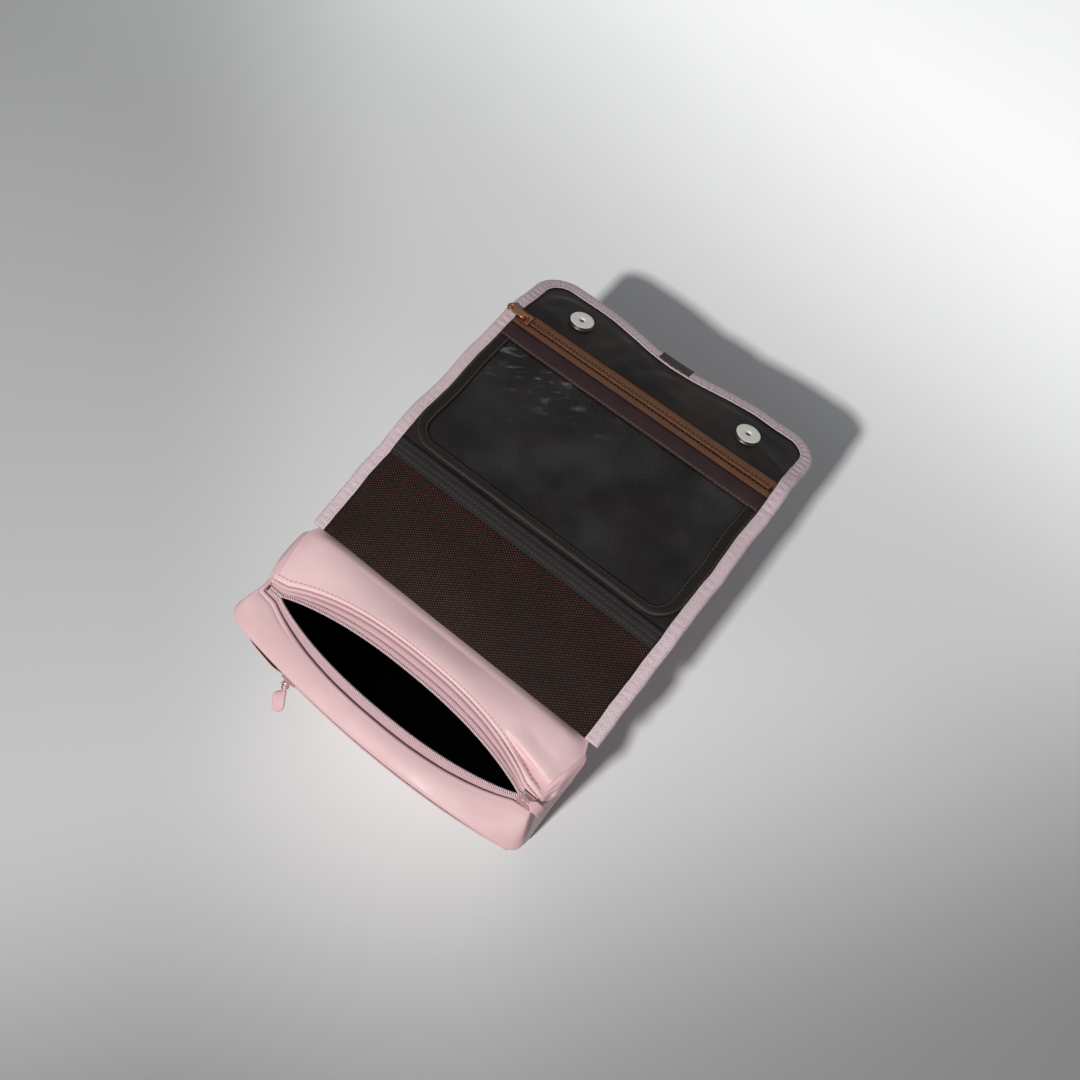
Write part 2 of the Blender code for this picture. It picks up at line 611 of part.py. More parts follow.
def zips(mid, window_depth):
    """Sliders and pullers of the three zips."""
    pin = (0, 0, PIN_HEIGHT)
    main = axis_empty("main_slider_frame", (MAIN_SLIDER_X, MOUTH_Y, TAPE_Z))
    slider("main_slider", main, True, ZIP_PINK, 0.3, 1.0)
    puller("main_puller", axis_empty("main_puller_axis", pin, main), ZIP_PINK, 0.45, 0.0,
           MAIN_PULLER_LENGTH, MAIN_PULLER_WIDTH)

    window = axis_empty("window_slider_frame", (WINDOW_SLIDER_X, WINDOW_ZIP_S, window_depth), mid)
    slider("window_slider", window, False, COPPER, 0.35, 1.0)
    puller("window_puller", axis_empty("window_puller_axis", pin, window, (0, 0, math.pi)), COPPER, 0.35, 1.0,
           WINDOW_PULLER_LENGTH, WINDOW_PULLER_WIDTH)

    centre = axis_empty("pocket_zip_axis", (0, BOW_RADIUS - HALF_D - FRONT_BOW, POCKET_ZIP_Z))
    turn = math.asin(POCKET_SLIDER_X / BOW_RADIUS)
    reach = BOW_RADIUS + COIL_PROUD
    pocket = axis_empty("pocket_slider_frame", (math.sin(turn) * reach, -math.cos(turn) * reach, 0), centre,
                        (math.pi / 2, 0, turn))
    slider("pocket_slider", pocket, False, ZIP_PINK, 0.3, 1.0)
    puller("pocket_puller", axis_empty("pocket_puller_axis", pin, pocket, (0, -math.radians(55), 0)),
           ZIP_PINK, 0.45, 0.0, POCKET_PULLER_LENGTH, POCKET_PULLER_WIDTH)


for old in list(bpy.data.objects):
    bpy.data.objects.remove(old, do_unlink=True)
PARTS = bpy.data.collections.new("wash_bag")
TOOLS = bpy.data.collections.new("cutters")
bpy.context.scene.collection.children.link(PARTS)
bpy.context.scene.collection.children.link(TOOLS)
pouch()
MID_FRAME, COIL_DEPTH = flap()
zips(MID_FRAME, COIL_DEPTH)
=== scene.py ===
"""Looks of an opened hanging wash bag: a soft zip pouch with a fold-out flap of pockets.

Every length is in metres in the part's own frame: +X right seen from the front, +Y back, +Z up.
"""
from __future__ import annotations

import json
import logging
import math
from dataclasses import dataclass, field
from enum import Enum
from functools import cache
from typing import Callable, Sequence

import bpy
import bmesh
from mathutils import Matrix, Vector, noise

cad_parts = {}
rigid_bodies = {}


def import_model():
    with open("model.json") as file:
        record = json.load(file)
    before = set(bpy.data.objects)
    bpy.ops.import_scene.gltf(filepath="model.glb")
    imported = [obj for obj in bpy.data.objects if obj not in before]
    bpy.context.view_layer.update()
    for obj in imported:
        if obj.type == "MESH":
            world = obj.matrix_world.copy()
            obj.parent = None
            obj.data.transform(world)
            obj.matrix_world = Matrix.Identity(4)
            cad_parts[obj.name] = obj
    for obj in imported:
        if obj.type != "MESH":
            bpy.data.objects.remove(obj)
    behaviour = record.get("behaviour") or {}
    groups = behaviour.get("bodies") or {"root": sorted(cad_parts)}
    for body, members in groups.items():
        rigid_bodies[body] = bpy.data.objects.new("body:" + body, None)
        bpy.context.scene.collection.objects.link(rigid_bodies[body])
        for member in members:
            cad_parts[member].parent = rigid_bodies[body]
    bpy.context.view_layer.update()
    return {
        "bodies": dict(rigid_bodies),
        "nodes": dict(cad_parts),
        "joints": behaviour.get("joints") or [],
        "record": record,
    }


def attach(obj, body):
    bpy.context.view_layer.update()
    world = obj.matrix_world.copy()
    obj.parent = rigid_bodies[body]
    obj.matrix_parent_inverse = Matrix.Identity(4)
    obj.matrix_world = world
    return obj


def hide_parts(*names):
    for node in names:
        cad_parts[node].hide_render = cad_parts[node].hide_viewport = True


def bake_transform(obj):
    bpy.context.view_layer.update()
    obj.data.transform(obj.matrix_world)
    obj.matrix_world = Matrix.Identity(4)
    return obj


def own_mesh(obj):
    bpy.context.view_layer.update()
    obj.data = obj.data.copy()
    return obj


LOG = logging.getLogger("wash_bag")
MM = 0.001
Point = tuple[float, float, float]
Socket = bpy.types.NodeSocket
Relief = tuple[Socket, Socket, float]
# A formula gives a piece's point for u and v from 0 to 1, a metric gives their distances in metres
# along the piece, and a row gives a point for t from 0 to 1.
Formula = Callable[[float, float], Point]
Metric = Callable[[float, float], tuple[float, float]]
Row = Callable[[float], Point]
STITCH_PITCH = 3.2 * MM
STITCH_WIDTH = 0.45 * MM
STITCH_DEPTH = 1.5


# Small helpers


def linear(rgb: tuple[int, int, int]) -> tuple[float, float, float, float]:
    """Turn a display colour into a linear one.

    Args:
        rgb: Red, green and blue from 0 to 255.

    Returns:
        The linear colour with an alpha of 1.
    """
    r, g, b = (((c / 255 + 0.055) / 1.055) ** 2.4 if c > 10 else c / 255 / 12.92 for c in rgb)
    return (r, g, b, 1.0)


def lerp(a: float, b: float, t: float) -> float:
    """Value a share t of the way from a to b."""
    return a + (b - a) * t


def smooth(a: float, b: float, x: float) -> float:
    """Smooth step from 0 at a to 1 at b."""
    t = min(max((x - a) / (b - a), 0.0), 1.0)
    return t * t * (3 - 2 * t)


def ripple(x: float, y: float, z: float = 0.0) -> float:
    """Smooth noise from about -1 to 1, the same on every run."""
    return noise.noise(Vector((x, y, z)))


# Shader graphs


class Graph:
    """A thin wrapper that adds and joins shader nodes."""

    def __init__(self, tree: bpy.types.NodeTree) -> None:
        """Hold the node tree to work on."""
        self.tree = tree

    def add(self, kind: str, **settings: object) -> bpy.types.Node:
        """Add a node.

        Args:
            kind: Node type without its ShaderNode prefix.
            settings: Attributes to set on the node.

        Returns:
            The new node.
        """
        node = self.tree.nodes.new("ShaderNode" + kind)
        for key, value in settings.items():
            setattr(node, key, value)
        return node

    def feed(self, target: Socket, value: Socket | float | Sequence[float]) -> None:
        """Link a socket into target, or set target's own value.

        Args:
            target: Socket to feed.
            value: Socket or plain value.
        """
        if isinstance(value, bpy.types.NodeSocket):
            self.tree.links.new(value, target)
        else:
            target.default_value = value

    def math(self, operation: str, a: Socket | float, b: Socket | float = 0.0,
             c: Socket | float = 0.0) -> Socket:
        """Add a Math node.

        Args:
            operation: Name of the operation, such as MULTIPLY.
            a: First operand.
            b: Second operand.
            c: Third operand.

        Returns:
            The result's socket.
        """
        node = self.add("Math", operation=operation)
        for slot, value in zip(node.inputs, (a, b, c)):
            self.feed(slot, value)
        return node.outputs[0]

    def mix(self, share: Socket | float, a: Socket | Sequence[float],
            b: Socket | Sequence[float]) -> Socket:
        """Mix two colours.

        Args:
            share: 0 for the first colour, 1 for the second.
            a: First colour.
            b: Second colour.

        Returns:
            The mixed colour's socket.
        """
        node = self.add("Mix", data_type="RGBA", clamp_factor=False)
        self.feed(node.inputs[0], share)
        self.feed(node.inputs[6], a)
        self.feed(node.inputs[7], b)
        return node.outputs[2]

    def noise(self, vector: Socket, scale: Socket | float, detail: float = 3.0,
              rough: float = 0.55) -> Socket:
        """Noise value from 0 to 1.

        Args:
            vector: Coordinates.
            scale: Number of features per metre.
            detail: Octaves.
            rough: Strength of the finer octaves.

        Returns:
            The noise value's socket.
        """
        node = self.add("TexNoise")
        self.feed(node.inputs["Vector"], vector)
        self.feed(node.inputs["Scale"], scale)
        node.inputs["Detail"].default_value = detail
        node.inputs["Roughness"].default_value = rough
        return node.outputs["Fac"]

    def split(self, vector: Socket) -> tuple[Socket, Socket, Socket]:
        """Split a vector into its three numbers.

        Args:
            vector: The vector.

        Returns:
            Sockets of X, Y and Z.
        """
        node = self.add("SeparateXYZ")
        self.feed(node.inputs[0], vector)
        return node.outputs[0], node.outputs[1], node.outputs[2]

    def ramp(self, value: Socket, low: float, high: float, to_low: float = 0.0,
             to_high: float = 1.0, soft: bool = False) -> Socket:
        """Map a value from one range to another, held at its ends.

        Args:
            value: The value.
            low: Start of its range.
            high: End of its range.
            to_low: Result at the start.
            to_high: Result at the end.
            soft: Whether the way between is an S curve.

        Returns:
            The result's socket.
        """
        node = self.add("MapRange", interpolation_type="SMOOTHSTEP" if soft else "LINEAR")
        for slot, number in zip(node.inputs, (value, low, high, to_low, to_high)):
            self.feed(slot, number)
        return node.outputs[0]

    def seen(self) -> Socket:
        """1 for rays from the camera, a mirror or glass, which see the backdrop, and 0 for others.

        Returns:
            The value's socket.
        """
        rays = self.add("LightPath").outputs
        return self.math("MAXIMUM", rays["Is Camera Ray"], self.math(
            "MAXIMUM", rays["Is Glossy Ray"], rays["Is Transmission Ray"]))


class Effects:
    """Shared shader effects, each a node group made once."""

    @staticmethod
    def _open(name: str, inputs: dict[str, float], outputs: Sequence[str]) -> tuple[
            Graph, bpy.types.NodeOutputs, bpy.types.NodeInputs]:
        """Start a node group that takes a Vector.

        Args:
            name: Name of the group.
            inputs: Default of each other input by its name.
            outputs: Name of each output.

        Returns:
            The group's graph, what it is given and what it puts out.
        """
        tree = bpy.data.node_groups.new(name, "ShaderNodeTree")
        tree.interface.new_socket("Vector", in_out="INPUT", socket_type="NodeSocketVector")
        for label, value in inputs.items():
            socket = tree.interface.new_socket(label, in_out="INPUT", socket_type="NodeSocketFloat")
            socket.default_value = value
        for label in outputs:
            tree.interface.new_socket(label, in_out="OUTPUT", socket_type="NodeSocketFloat")
        entry, leave = tree.nodes.new("NodeGroupInput"), tree.nodes.new("NodeGroupOutput")
        return Graph(tree), entry.outputs, leave.inputs

    @staticmethod
    def _wave(graph: Graph, value: Socket, pitch: Socket) -> Socket:
        """Sine wave along a value, with one turn per pitch.

        Args:
            graph: The group's graph.
            value: Distance.
            pitch: Length of a turn.

        Returns:
            The wave's socket, from -1 to 1.
        """
        turns = graph.math("DIVIDE", value, pitch)
        return graph.math("SINE", graph.math("MULTIPLY", turns, 2 * math.pi))

    @staticmethod
    @cache
    def grain() -> bpy.types.NodeTree:
        """Pebbled leather grain: Height of the pebbles and a slow Tone.

        Returns:
            The node group.
        """
        graph, given, out = Effects._open("leather_grain", {"Scale": 900.0}, ("Height", "Tone"))
        cells = graph.add("TexVoronoi", feature="SMOOTH_F1")
        graph.feed(cells.inputs["Vector"], given["Vector"])
        graph.feed(cells.inputs["Scale"], given["Scale"])
        fine = graph.noise(given["Vector"], graph.math("MULTIPLY", given["Scale"], 0.7), 2.0)
        fine = graph.math("MULTIPLY", fine, 0.6)
        graph.feed(out["Height"], graph.math("ADD", cells.outputs["Distance"], fine))
        graph.feed(out["Tone"], graph.noise(given["Vector"], 22.0, 3.0))
        return graph.tree

    @staticmethod
    @cache
    def weave() -> bpy.types.NodeTree:
        """Threads crossing at two pitches: Height of the threads.

        Returns:
            The node group.
        """
        graph, given, out = Effects._open("thread_weave", {"Pitch U": 0.001, "Pitch V": 0.001},
                                          ("Height",))
        u, v, _ = graph.split(given["Vector"])
        crossed = graph.math("MULTIPLY", Effects._wave(graph, u, given["Pitch U"]),
                             Effects._wave(graph, v, given["Pitch V"]))
        graph.feed(out["Height"], graph.math("MULTIPLY_ADD", crossed, 0.5, 0.5))
        return graph.tree

    @staticmethod
    @cache
    def ribs() -> bpy.types.NodeTree:
        """Ribs across a tape at one pitch along U: Height of the ribs.

        Returns:
            The node group.
        """
        graph, given, out = Effects._open("tape_ribs", {"Pitch": 0.001}, ("Height",))
        u, _, _ = graph.split(given["Vector"])
        wave = Effects._wave(graph, u, given["Pitch"])
        graph.feed(out["Height"], graph.math("MULTIPLY_ADD", wave, 0.5, 0.5))
        return graph.tree

    @staticmethod
    @cache
    def stitches() -> bpy.types.NodeTree:
        """A row of stitches along U at one V.

        It puts out a Mask of the thread and the Height of its groove and thread.

        Returns:
            The node group.
        """
        graph, given, out = Effects._open(
            "stitch_row", {"Offset": 0.003, "Pitch": 0.003, "Width": 0.0005}, ("Mask", "Height"))
        u, v, _ = graph.split(given["Vector"])
        away = graph.math("ABSOLUTE", graph.math("SUBTRACT", v, given["Offset"]))
        away = graph.math("DIVIDE", away, given["Width"])
        row = graph.ramp(away, 0.7, 1.2, 1.0, 0.0)
        turn = graph.math("FRACT", graph.math("DIVIDE", u, given["Pitch"]))
        middle = graph.math("ABSOLUTE", graph.math("SUBTRACT", turn, 0.5))
        mask = graph.math("MULTIPLY", row, graph.ramp(middle, 0.33, 0.4, 1.0, 0.0))
        groove = graph.ramp(away, 0.5, 3.0, -1.0, 0.0)
        graph.feed(out["Mask"], mask)
        graph.feed(out["Height"], graph.math("ADD", groove, graph.math("MULTIPLY", mask, 1.2)))
        return graph.tree

    @staticmethod
    @cache
    def crumple() -> bpy.types.NodeTree:
        """Soft creases of thin cloth or film: Height.

        Returns:
            The node group.
        """
        graph, given, out = Effects._open("soft_crumple", {"Scale": 30.0}, ("Height",))
        warp = graph.add("TexNoise")
        graph.feed(warp.inputs["Vector"], given["Vector"])
        graph.feed(warp.inputs["Scale"], given["Scale"])
        warp.inputs["Detail"].default_value = 2.0
        warp.inputs["Distortion"].default_value = 1.4
        ridge = graph.math("ABSOLUTE", graph.math("SUBTRACT", warp.outputs["Fac"], 0.5))
        graph.feed(out["Height"], graph.math("SUBTRACT", 0.5, ridge))
        return graph.tree

    @staticmethod
    def place(graph: Graph, tree: bpy.types.NodeTree, vector: Socket,
              **values: float) -> bpy.types.Node:
        """Place an effect in a material.

        Args:
            graph: The material's graph.
            tree: The effect's node group.
            vector: Coordinates to feed it.
            values: Values of its other inputs, with _ for a space in a name.

        Returns:
            The group node.
        """
        node = graph.add("Group")
        node.node_tree = tree
        graph.feed(node.inputs["Vector"], vector)
        for key, value in values.items():
            node.inputs[key.replace("_", " ")].default_value = value
        return node


class Cloth(Enum):
    """Kinds of surface that the bag is made of."""

    LEATHER = "leather"
    SATIN = "satin"
    NET = "net"
    TAPE = "tape"
    WOVEN = "woven"
    COIL = "coil"
    FILM = "film"
    METAL = "metal"
    RUBBER = "rubber"


@dataclass(frozen=True)
class Surface:
    """A material in the making.

    Attributes:
        graph: The material's graph.
        shader: Its main shader.
        uv: Coordinates in metres along the piece.
        solid: Coordinates in the part's frame.
        tone: Linear main colour.
        dark: Linear second colour.
    """

    graph: Graph
    shader: bpy.types.Node
    uv: Socket
    solid: Socket
    tone: Sequence[float]
    dark: Sequence[float]


@dataclass(frozen=True)
class Finish:
    """A finish of one piece or of a set of pieces.

    Attributes:
        name: Name of the material.
        cloth: Kind of surface.
        rgb: Display colour.
        rough: Roughness.
        shade: Display colour of the recesses and the second tone.
        pitch: Pitch of the ribs, threads or cells in metres.
        bump: Height of the relief in metres.
        seams: V of each row of stitches in metres.
        thread: Display colour of the stitches.
        sheen: Weight of the fabric's sheen.
    """

    name: str
    cloth: Cloth
    rgb: tuple[int, int, int]
    rough: float
    shade: tuple[int, int, int]
    pitch: float = 0.001
    bump: float = 0.0002
    seams: tuple[float, ...] = ()
    thread: tuple[int, int, int] = (230, 205, 208)
    sheen: float = 0.0

    def material(self) -> bpy.types.Material:
        """Make the finish's material once.

        Returns:
            The material.
        """
        made = bpy.data.materials.get(self.name)
        if made:
            return made
        mat = bpy.data.materials.new(self.name)
        mat.use_nodes = True
        graph = Graph(mat.node_tree)
        shader = mat.node_tree.nodes["Principled BSDF"]
        uv = graph.add("UVMap", uv_map="UVMap").outputs[0]
        solid = graph.add("TexCoord").outputs["Object"]
        shader.inputs["Roughness"].default_value = self.rough
        makers: dict[Cloth, Callable[[Surface], Relief]] = {
            Cloth.LEATHER: self._leather, Cloth.SATIN: self._satin, Cloth.NET: self._net,
            Cloth.TAPE: self._tape, Cloth.WOVEN: self._woven, Cloth.COIL: self._coil,
            Cloth.FILM: self._film, Cloth.METAL: self._metal, Cloth.RUBBER: self._rubber}
        colour, height, strength = makers[self.cloth](
            Surface(graph, shader, uv, solid, linear(self.rgb), linear(self.shade)))
        for offset in self.seams:
            row = Effects.place(graph, Effects.stitches(), uv, Offset=offset, Pitch=STITCH_PITCH,
                                Width=STITCH_WIDTH)
            colour = graph.mix(row.outputs["Mask"], colour, linear(self.thread))
            sunk = graph.math("MULTIPLY", row.outputs["Height"], STITCH_DEPTH)
            height = graph.math("ADD", height, sunk)
        graph.feed(shader.inputs["Base Color"], colour)
        bump = graph.add("Bump")
        bump.inputs["Strength"].default_value = strength
        bump.inputs["Distance"].default_value = self.bump
        graph.feed(bump.inputs["Height"], height)
        graph.feed(shader.inputs["Normal"], bump.outputs[0])
        if self.sheen:
            shader.inputs["Sheen Weight"].default_value = self.sheen
            shader.inputs["Sheen Roughness"].default_value = 0.4
            shader.inputs["Sheen Tint"].default_value = linear((255, 240, 240))
        return mat

    def _leather(self, on: Surface) -> Relief:
        """Fine grained synthetic leather with slow changes of tone.

        Args:
            on: The material in the making.

        Returns:
            Colour, height and strength of the bump.
        """
        graph = on.graph
        grain = Effects.place(graph, Effects.grain(), on.solid, Scale=1 / self.pitch)
        slow = graph.ramp(grain.outputs["Tone"], 0.35, 0.7)
        colour = graph.mix(graph.math("MULTIPLY", slow, 0.55), on.tone, on.dark)
        worn = graph.ramp(graph.noise(on.solid, 60.0, 4.0), 0.3, 0.75,
                          self.rough - 0.06, self.rough + 0.1)
        graph.feed(on.shader.inputs["Roughness"], worn)
        creases = Effects.place(graph, Effects.crumple(), on.solid, Scale=38.0)
        deep = graph.math("MULTIPLY", creases.outputs["Height"], 4.0)
        height = graph.math("ADD", grain.outputs["Height"], deep)
        on.shader.inputs["Specular IOR Level"].default_value = 0.45
        return colour, height, 0.5

    def _satin(self, on: Surface) -> Relief:
        """Glossy nylon lining with soft creases and patches of painted sheen.

        Args:
            on: The material in the making.

        Returns:
            Colour, height and strength of the bump.
        """
        graph = on.graph
        threads = Effects.place(graph, Effects.weave(), on.uv, Pitch_U=self.pitch,
                                Pitch_V=self.pitch)
        creases = Effects.place(graph, Effects.crumple(), on.solid, Scale=45.0)
        # Slow lighter and darker patches stand in for the satin's sheen: a painted sheen.
        slow = graph.ramp(graph.noise(on.solid, 26.0, 4.0), 0.35, 0.65)
        colour = graph.mix(slow, on.tone, on.dark)
        height = graph.math("ADD", graph.math("MULTIPLY", threads.outputs["Height"], 0.015),
                            graph.math("MULTIPLY", creases.outputs["Height"], 3.2))
        on.shader.inputs["Specular IOR Level"].default_value = 0.22
        return colour, height, 0.6

    def _net(self, on: Surface) -> Relief:
        """Fine net with small diamond holes, painted near black as the shaded lining seen through
        them.

        Args:
            on: The material in the making.

        Returns:
            Colour, height and strength of the bump.
        """
        graph = on.graph
        cells = Effects.place(graph, Effects.weave(), on.uv, Pitch_U=self.pitch * 1.15,
                              Pitch_V=self.pitch * 0.75)
        on.shader.inputs["Specular IOR Level"].default_value = 0.15
        thread = graph.math("MULTIPLY", graph.ramp(cells.outputs["Height"], 0.52, 0.9),
                            graph.ramp(graph.noise(on.uv, 420.0, 2.0), 0.35, 0.6, 0.45, 1.0))
        slow = graph.ramp(graph.noise(on.solid, 28.0, 3.0), 0.3, 0.7, 0.75, 1.15)
        _, along, _ = graph.split(on.uv)
        warm = graph.mix(graph.ramp(along, 0.046, 0.068, 0.0, 0.55), on.tone, linear((112, 58, 46)))
        # Holes are painted near black: the dark lining seen through them, darkened as a painted
        # shade under the net.
        lit = graph.mix(thread, on.dark, warm)
        node = graph.add("HueSaturation")
        graph.feed(node.inputs["Color"], lit)
        graph.feed(node.inputs["Value"], slow)
        return node.outputs[0], thread, 0.8

    def _tape(self, on: Surface) -> Relief:
        """Ribbed grosgrain tape, with painted shade in the grooves between its ribs.

        Args:
            on: The material in the making.

        Returns:
            Colour, height and strength of the bump.
        """
        graph = on.graph
        ribs = Effects.place(graph, Effects.ribs(), on.uv, Pitch=self.pitch)
        slow = graph.noise(on.solid, 110.0, 3.0)
        specks = graph.ramp(graph.noise(on.uv, 900.0, 2.0), 0.5, 0.62, 0.0, 0.5)
        # The grooves between ribs are painted darker as shade; the specks and slow patches are the
        # tape's own tone.
        share = graph.math("MULTIPLY_ADD", ribs.outputs["Height"], -0.4,
                           graph.math("MULTIPLY_ADD", slow, 0.5, 0.2))
        colour = graph.mix(graph.ramp(graph.math("ADD", share, specks), 0.0, 0.8), on.tone, on.dark)
        return colour, ribs.outputs["Height"], 0.8

    def _woven(self, on: Surface) -> Relief:
        """Plain woven tape, with painted shade between its threads.

        Args:
            on: The material in the making.

        Returns:
            Colour, height and strength of the bump.
        """
        graph = on.graph
        threads = Effects.place(graph, Effects.weave(), on.uv, Pitch_U=self.pitch,
                                Pitch_V=self.pitch * 1.3)
        on.shader.inputs["Specular IOR Level"].default_value = 0.2
        slow = graph.math("MULTIPLY", graph.noise(on.solid, 90.0, 3.0), 0.5)
        # The gaps between threads are painted in the darker colour: a painted shade, on top of the
        # bump.
        share = graph.math("MULTIPLY_ADD", threads.outputs["Height"], 0.7, slow)
        colour = graph.mix(graph.ramp(share, 0.1, 1.0), on.dark, on.tone)
        return colour, threads.outputs["Height"], 0.7

    def _coil(self, on: Surface) -> Relief:
        """Smooth nylon of a zip's coil.

        Args:
            on: The material in the making.

        Returns:
            Colour, height and strength of the bump.
        """
        graph = on.graph
        slow = graph.noise(on.solid, 400.0, 2.0)
        return graph.mix(slow, on.tone, on.dark), slow, 0.2

    def _film(self, on: Surface) -> Relief:
        """Clear soft vinyl that is a little hazy and wavy, with a whitish haze that is partly
        painted reflection, and painted highlight streaks near one corner.

        Args:
            on: The material in the making.

        Returns:
            Colour, height and strength of the bump.
        """
        graph = on.graph
        waves = Effects.place(graph, Effects.crumple(), on.solid, Scale=26.0)
        colour = graph.mix(graph.noise(on.solid, 20.0, 2.0), on.tone, on.dark)
        on.shader.inputs["Specular IOR Level"].default_value = 0.0
        cloud = graph.ramp(graph.noise(on.solid, 24.0, 2.0, 0.5), 0.45, 0.75)
        specks = graph.ramp(graph.noise(on.solid, 260.0, 2.0), 0.72, 0.8)
        across, along, _ = graph.split(on.uv)
        # Painted highlight streaks, held to one corner of the window by this mask and stretched by
        # the mapping below.
        highlight_corner = graph.math("MULTIPLY", graph.ramp(along, 0.06, 0.085),
                          graph.ramp(across, 0.12, 0.03))
        streak = graph.add("Mapping", vector_type="TEXTURE")
        graph.feed(streak.inputs["Vector"], on.uv)
        streak.inputs["Rotation"].default_value = (0.0, 0.0, 0.5)
        streak.inputs["Scale"].default_value = (2.6, 1.0, 1.0)
        painted_highlight_streaks = graph.ramp(graph.noise(streak.outputs[0], 170.0, 3.0), 0.56, 0.7)
        # A whitish diffuse share: the film's own haze, and painted reflection and highlights.
        haze_and_painted_reflection = graph.math("MULTIPLY_ADD", specks, 0.05, 0.005)
        haze_and_painted_reflection = graph.math("MULTIPLY_ADD", cloud, 0.014, haze_and_painted_reflection)
        haze_and_painted_reflection = graph.math("MULTIPLY_ADD", graph.math("MULTIPLY", painted_highlight_streaks, highlight_corner), 0.1, haze_and_painted_reflection)
        bend = graph.add("Bump")
        bend.inputs["Strength"].default_value = 0.5
        bend.inputs["Distance"].default_value = self.bump
        graph.feed(bend.inputs["Height"], waves.outputs["Height"])
        edge, gloss = graph.add("Fresnel"), graph.add("BsdfAnisotropic")
        clear = graph.add("BsdfTransparent")
        edge.inputs["IOR"].default_value = 1.22
        gloss.inputs["Roughness"].default_value = self.rough
        clear.inputs["Color"].default_value = linear((226, 225, 223))
        for node in (edge, gloss):
            graph.feed(node.inputs["Normal"], bend.outputs[0])
        sheet, hazy = graph.add("MixShader"), graph.add("MixShader")
        for mixed, share, under, over in ((sheet, edge.outputs[0], clear, gloss),
                                          (hazy, haze_and_painted_reflection, sheet, on.shader)):
            graph.feed(mixed.inputs[0], share)
            graph.feed(mixed.inputs[1], under.outputs[0])
            graph.feed(mixed.inputs[2], over.outputs[0])
        graph.feed(graph.tree.nodes["Material Output"].inputs["Surface"], hazy.outputs[0])
        return colour, waves.outputs["Height"], 0.5

    def _metal(self, on: Surface) -> Relief:
        """Plated metal with fine wear.

        Args:
            on: The material in the making.

        Returns:
            Colour, height and strength of the bump.
        """
        graph = on.graph
        wear = graph.noise(on.solid, 900.0, 4.0)
        worn = graph.ramp(wear, 0.35, 0.7, self.rough - 0.07, self.rough + 0.1)
        graph.feed(on.shader.inputs["Roughness"], worn)
        on.shader.inputs["Metallic"].default_value = 1.0
        return graph.mix(graph.ramp(wear, 0.4, 0.8), on.tone, on.dark), wear, 0.15

    def _rubber(self, on: Surface) -> Relief:
        """Soft moulded tab.

        Args:
            on: The material in the making.

        Returns:
            Colour, height and strength of the bump.
        """
        graph = on.graph
        fine = graph.noise(on.solid, 1500.0, 2.0)
        return graph.mix(graph.noise(on.solid, 120.0, 2.0), on.tone, on.dark), fine, 0.2


PINK = Finish("pink_leather_plain", Cloth.LEATHER, (212, 177, 179), 0.5, (203, 166, 169),
              0.0009, 0.00005)
LIP = Finish("pink_leather_seamed", Cloth.LEATHER, (212, 177, 179), 0.5, (203, 166, 169),
             0.0009, 0.00005, (0.0046,), (186, 146, 151))
# The yoke is the same pink leather as LIP, painted lighter: painted light on the top strip.
LIT_YOKE = Finish("pink_leather_yoke_painted_light", Cloth.LEATHER, (229, 195, 197), 0.5, (220, 185, 188),
              0.0009, 0.00005, (0.0046,), (194, 154, 159))
BINDING = Finish("edge_grosgrain", Cloth.TAPE, (214, 197, 202), 0.62, (184, 158, 166),
                 0.0013, 0.00025, (0.0088,), (222, 206, 210), 0.1)
SATIN = Finish("lining_satin", Cloth.SATIN, (46, 37, 33), 0.4, (22, 18, 17), 0.0007, 0.0002)
# A darker copy of the lining colour: painted shade for the inside of the pouch and of the pocket's
# mouth.
SHADED_INSIDE = Finish("inner_lining_painted_shade", Cloth.SATIN, (34, 24, 22), 0.6, (20, 15, 14), 0.0007, 0.00012)
NET = Finish("pocket_net", Cloth.NET, (94, 62, 51), 0.75, (6, 4, 3), 0.0025, 0.0003)
HEM = Finish("net_hem", Cloth.WOVEN, (38, 34, 34), 0.65, (13, 11, 11), 0.0013, 0.0002,
             (0.0028, 0.0064, 0.0105), (58, 52, 50))
HEADER = Finish("header_tape", Cloth.WOVEN, (62, 42, 44), 0.65, (24, 15, 17), 0.0013, 0.00022,
                (0.0012,), (84, 66, 66))
FRAME = Finish("window_tape", Cloth.WOVEN, (32, 26, 24), 0.4, (16, 13, 12), 0.0009, 0.00012,
               (0.0012, 0.0078), (66, 56, 52))
COPPER_TAPE = Finish("copper_zip_tape", Cloth.WOVEN, (118, 80, 60), 0.6, (70, 45, 33),
                     0.001, 0.0002, (0.0052,), (34, 20, 15))
COPPER_COIL = Finish("copper_zip_coil", Cloth.COIL, (146, 98, 70), 0.4, (98, 62, 42))
COPPER = Finish("copper_slider", Cloth.METAL, (178, 128, 98), 0.34, (128, 86, 62), bump=0.00004)
PINK_TAPE = Finish("pink_zip_tape", Cloth.WOVEN, (208, 175, 179), 0.65, (188, 152, 158),
                   0.0011, 0.00018)
PINK_COIL = Finish("pink_zip_coil", Cloth.COIL, (228, 204, 207), 0.4, (212, 184, 188))
PINK_METAL = Finish("pink_nickel", Cloth.METAL, (214, 172, 176), 0.3, (176, 132, 138), bump=0.00004)
PINK_TAB = Finish("pink_pull_tab", Cloth.RUBBER, (212, 172, 178), 0.5, (200, 158, 166),
                  bump=0.00004)
NICKEL = Finish("snap_nickel", Cloth.RUBBER, (236, 235, 227), 0.25, (222, 221, 212), bump=0.00003)
# The dark core finish is also painted on the snap rings' sides and feet as shade.
SNAP_CORE_AND_SIDE_SHADE = Finish("snap_core_and_side_shade", Cloth.METAL, (92, 90, 86), 0.4, (50, 48, 46), bump=0.00003)
WEBBING = Finish("tab_webbing", Cloth.TAPE, (46, 33, 30), 0.65, (24, 17, 15), 0.0012, 0.00025,
                 sheen=0.05)
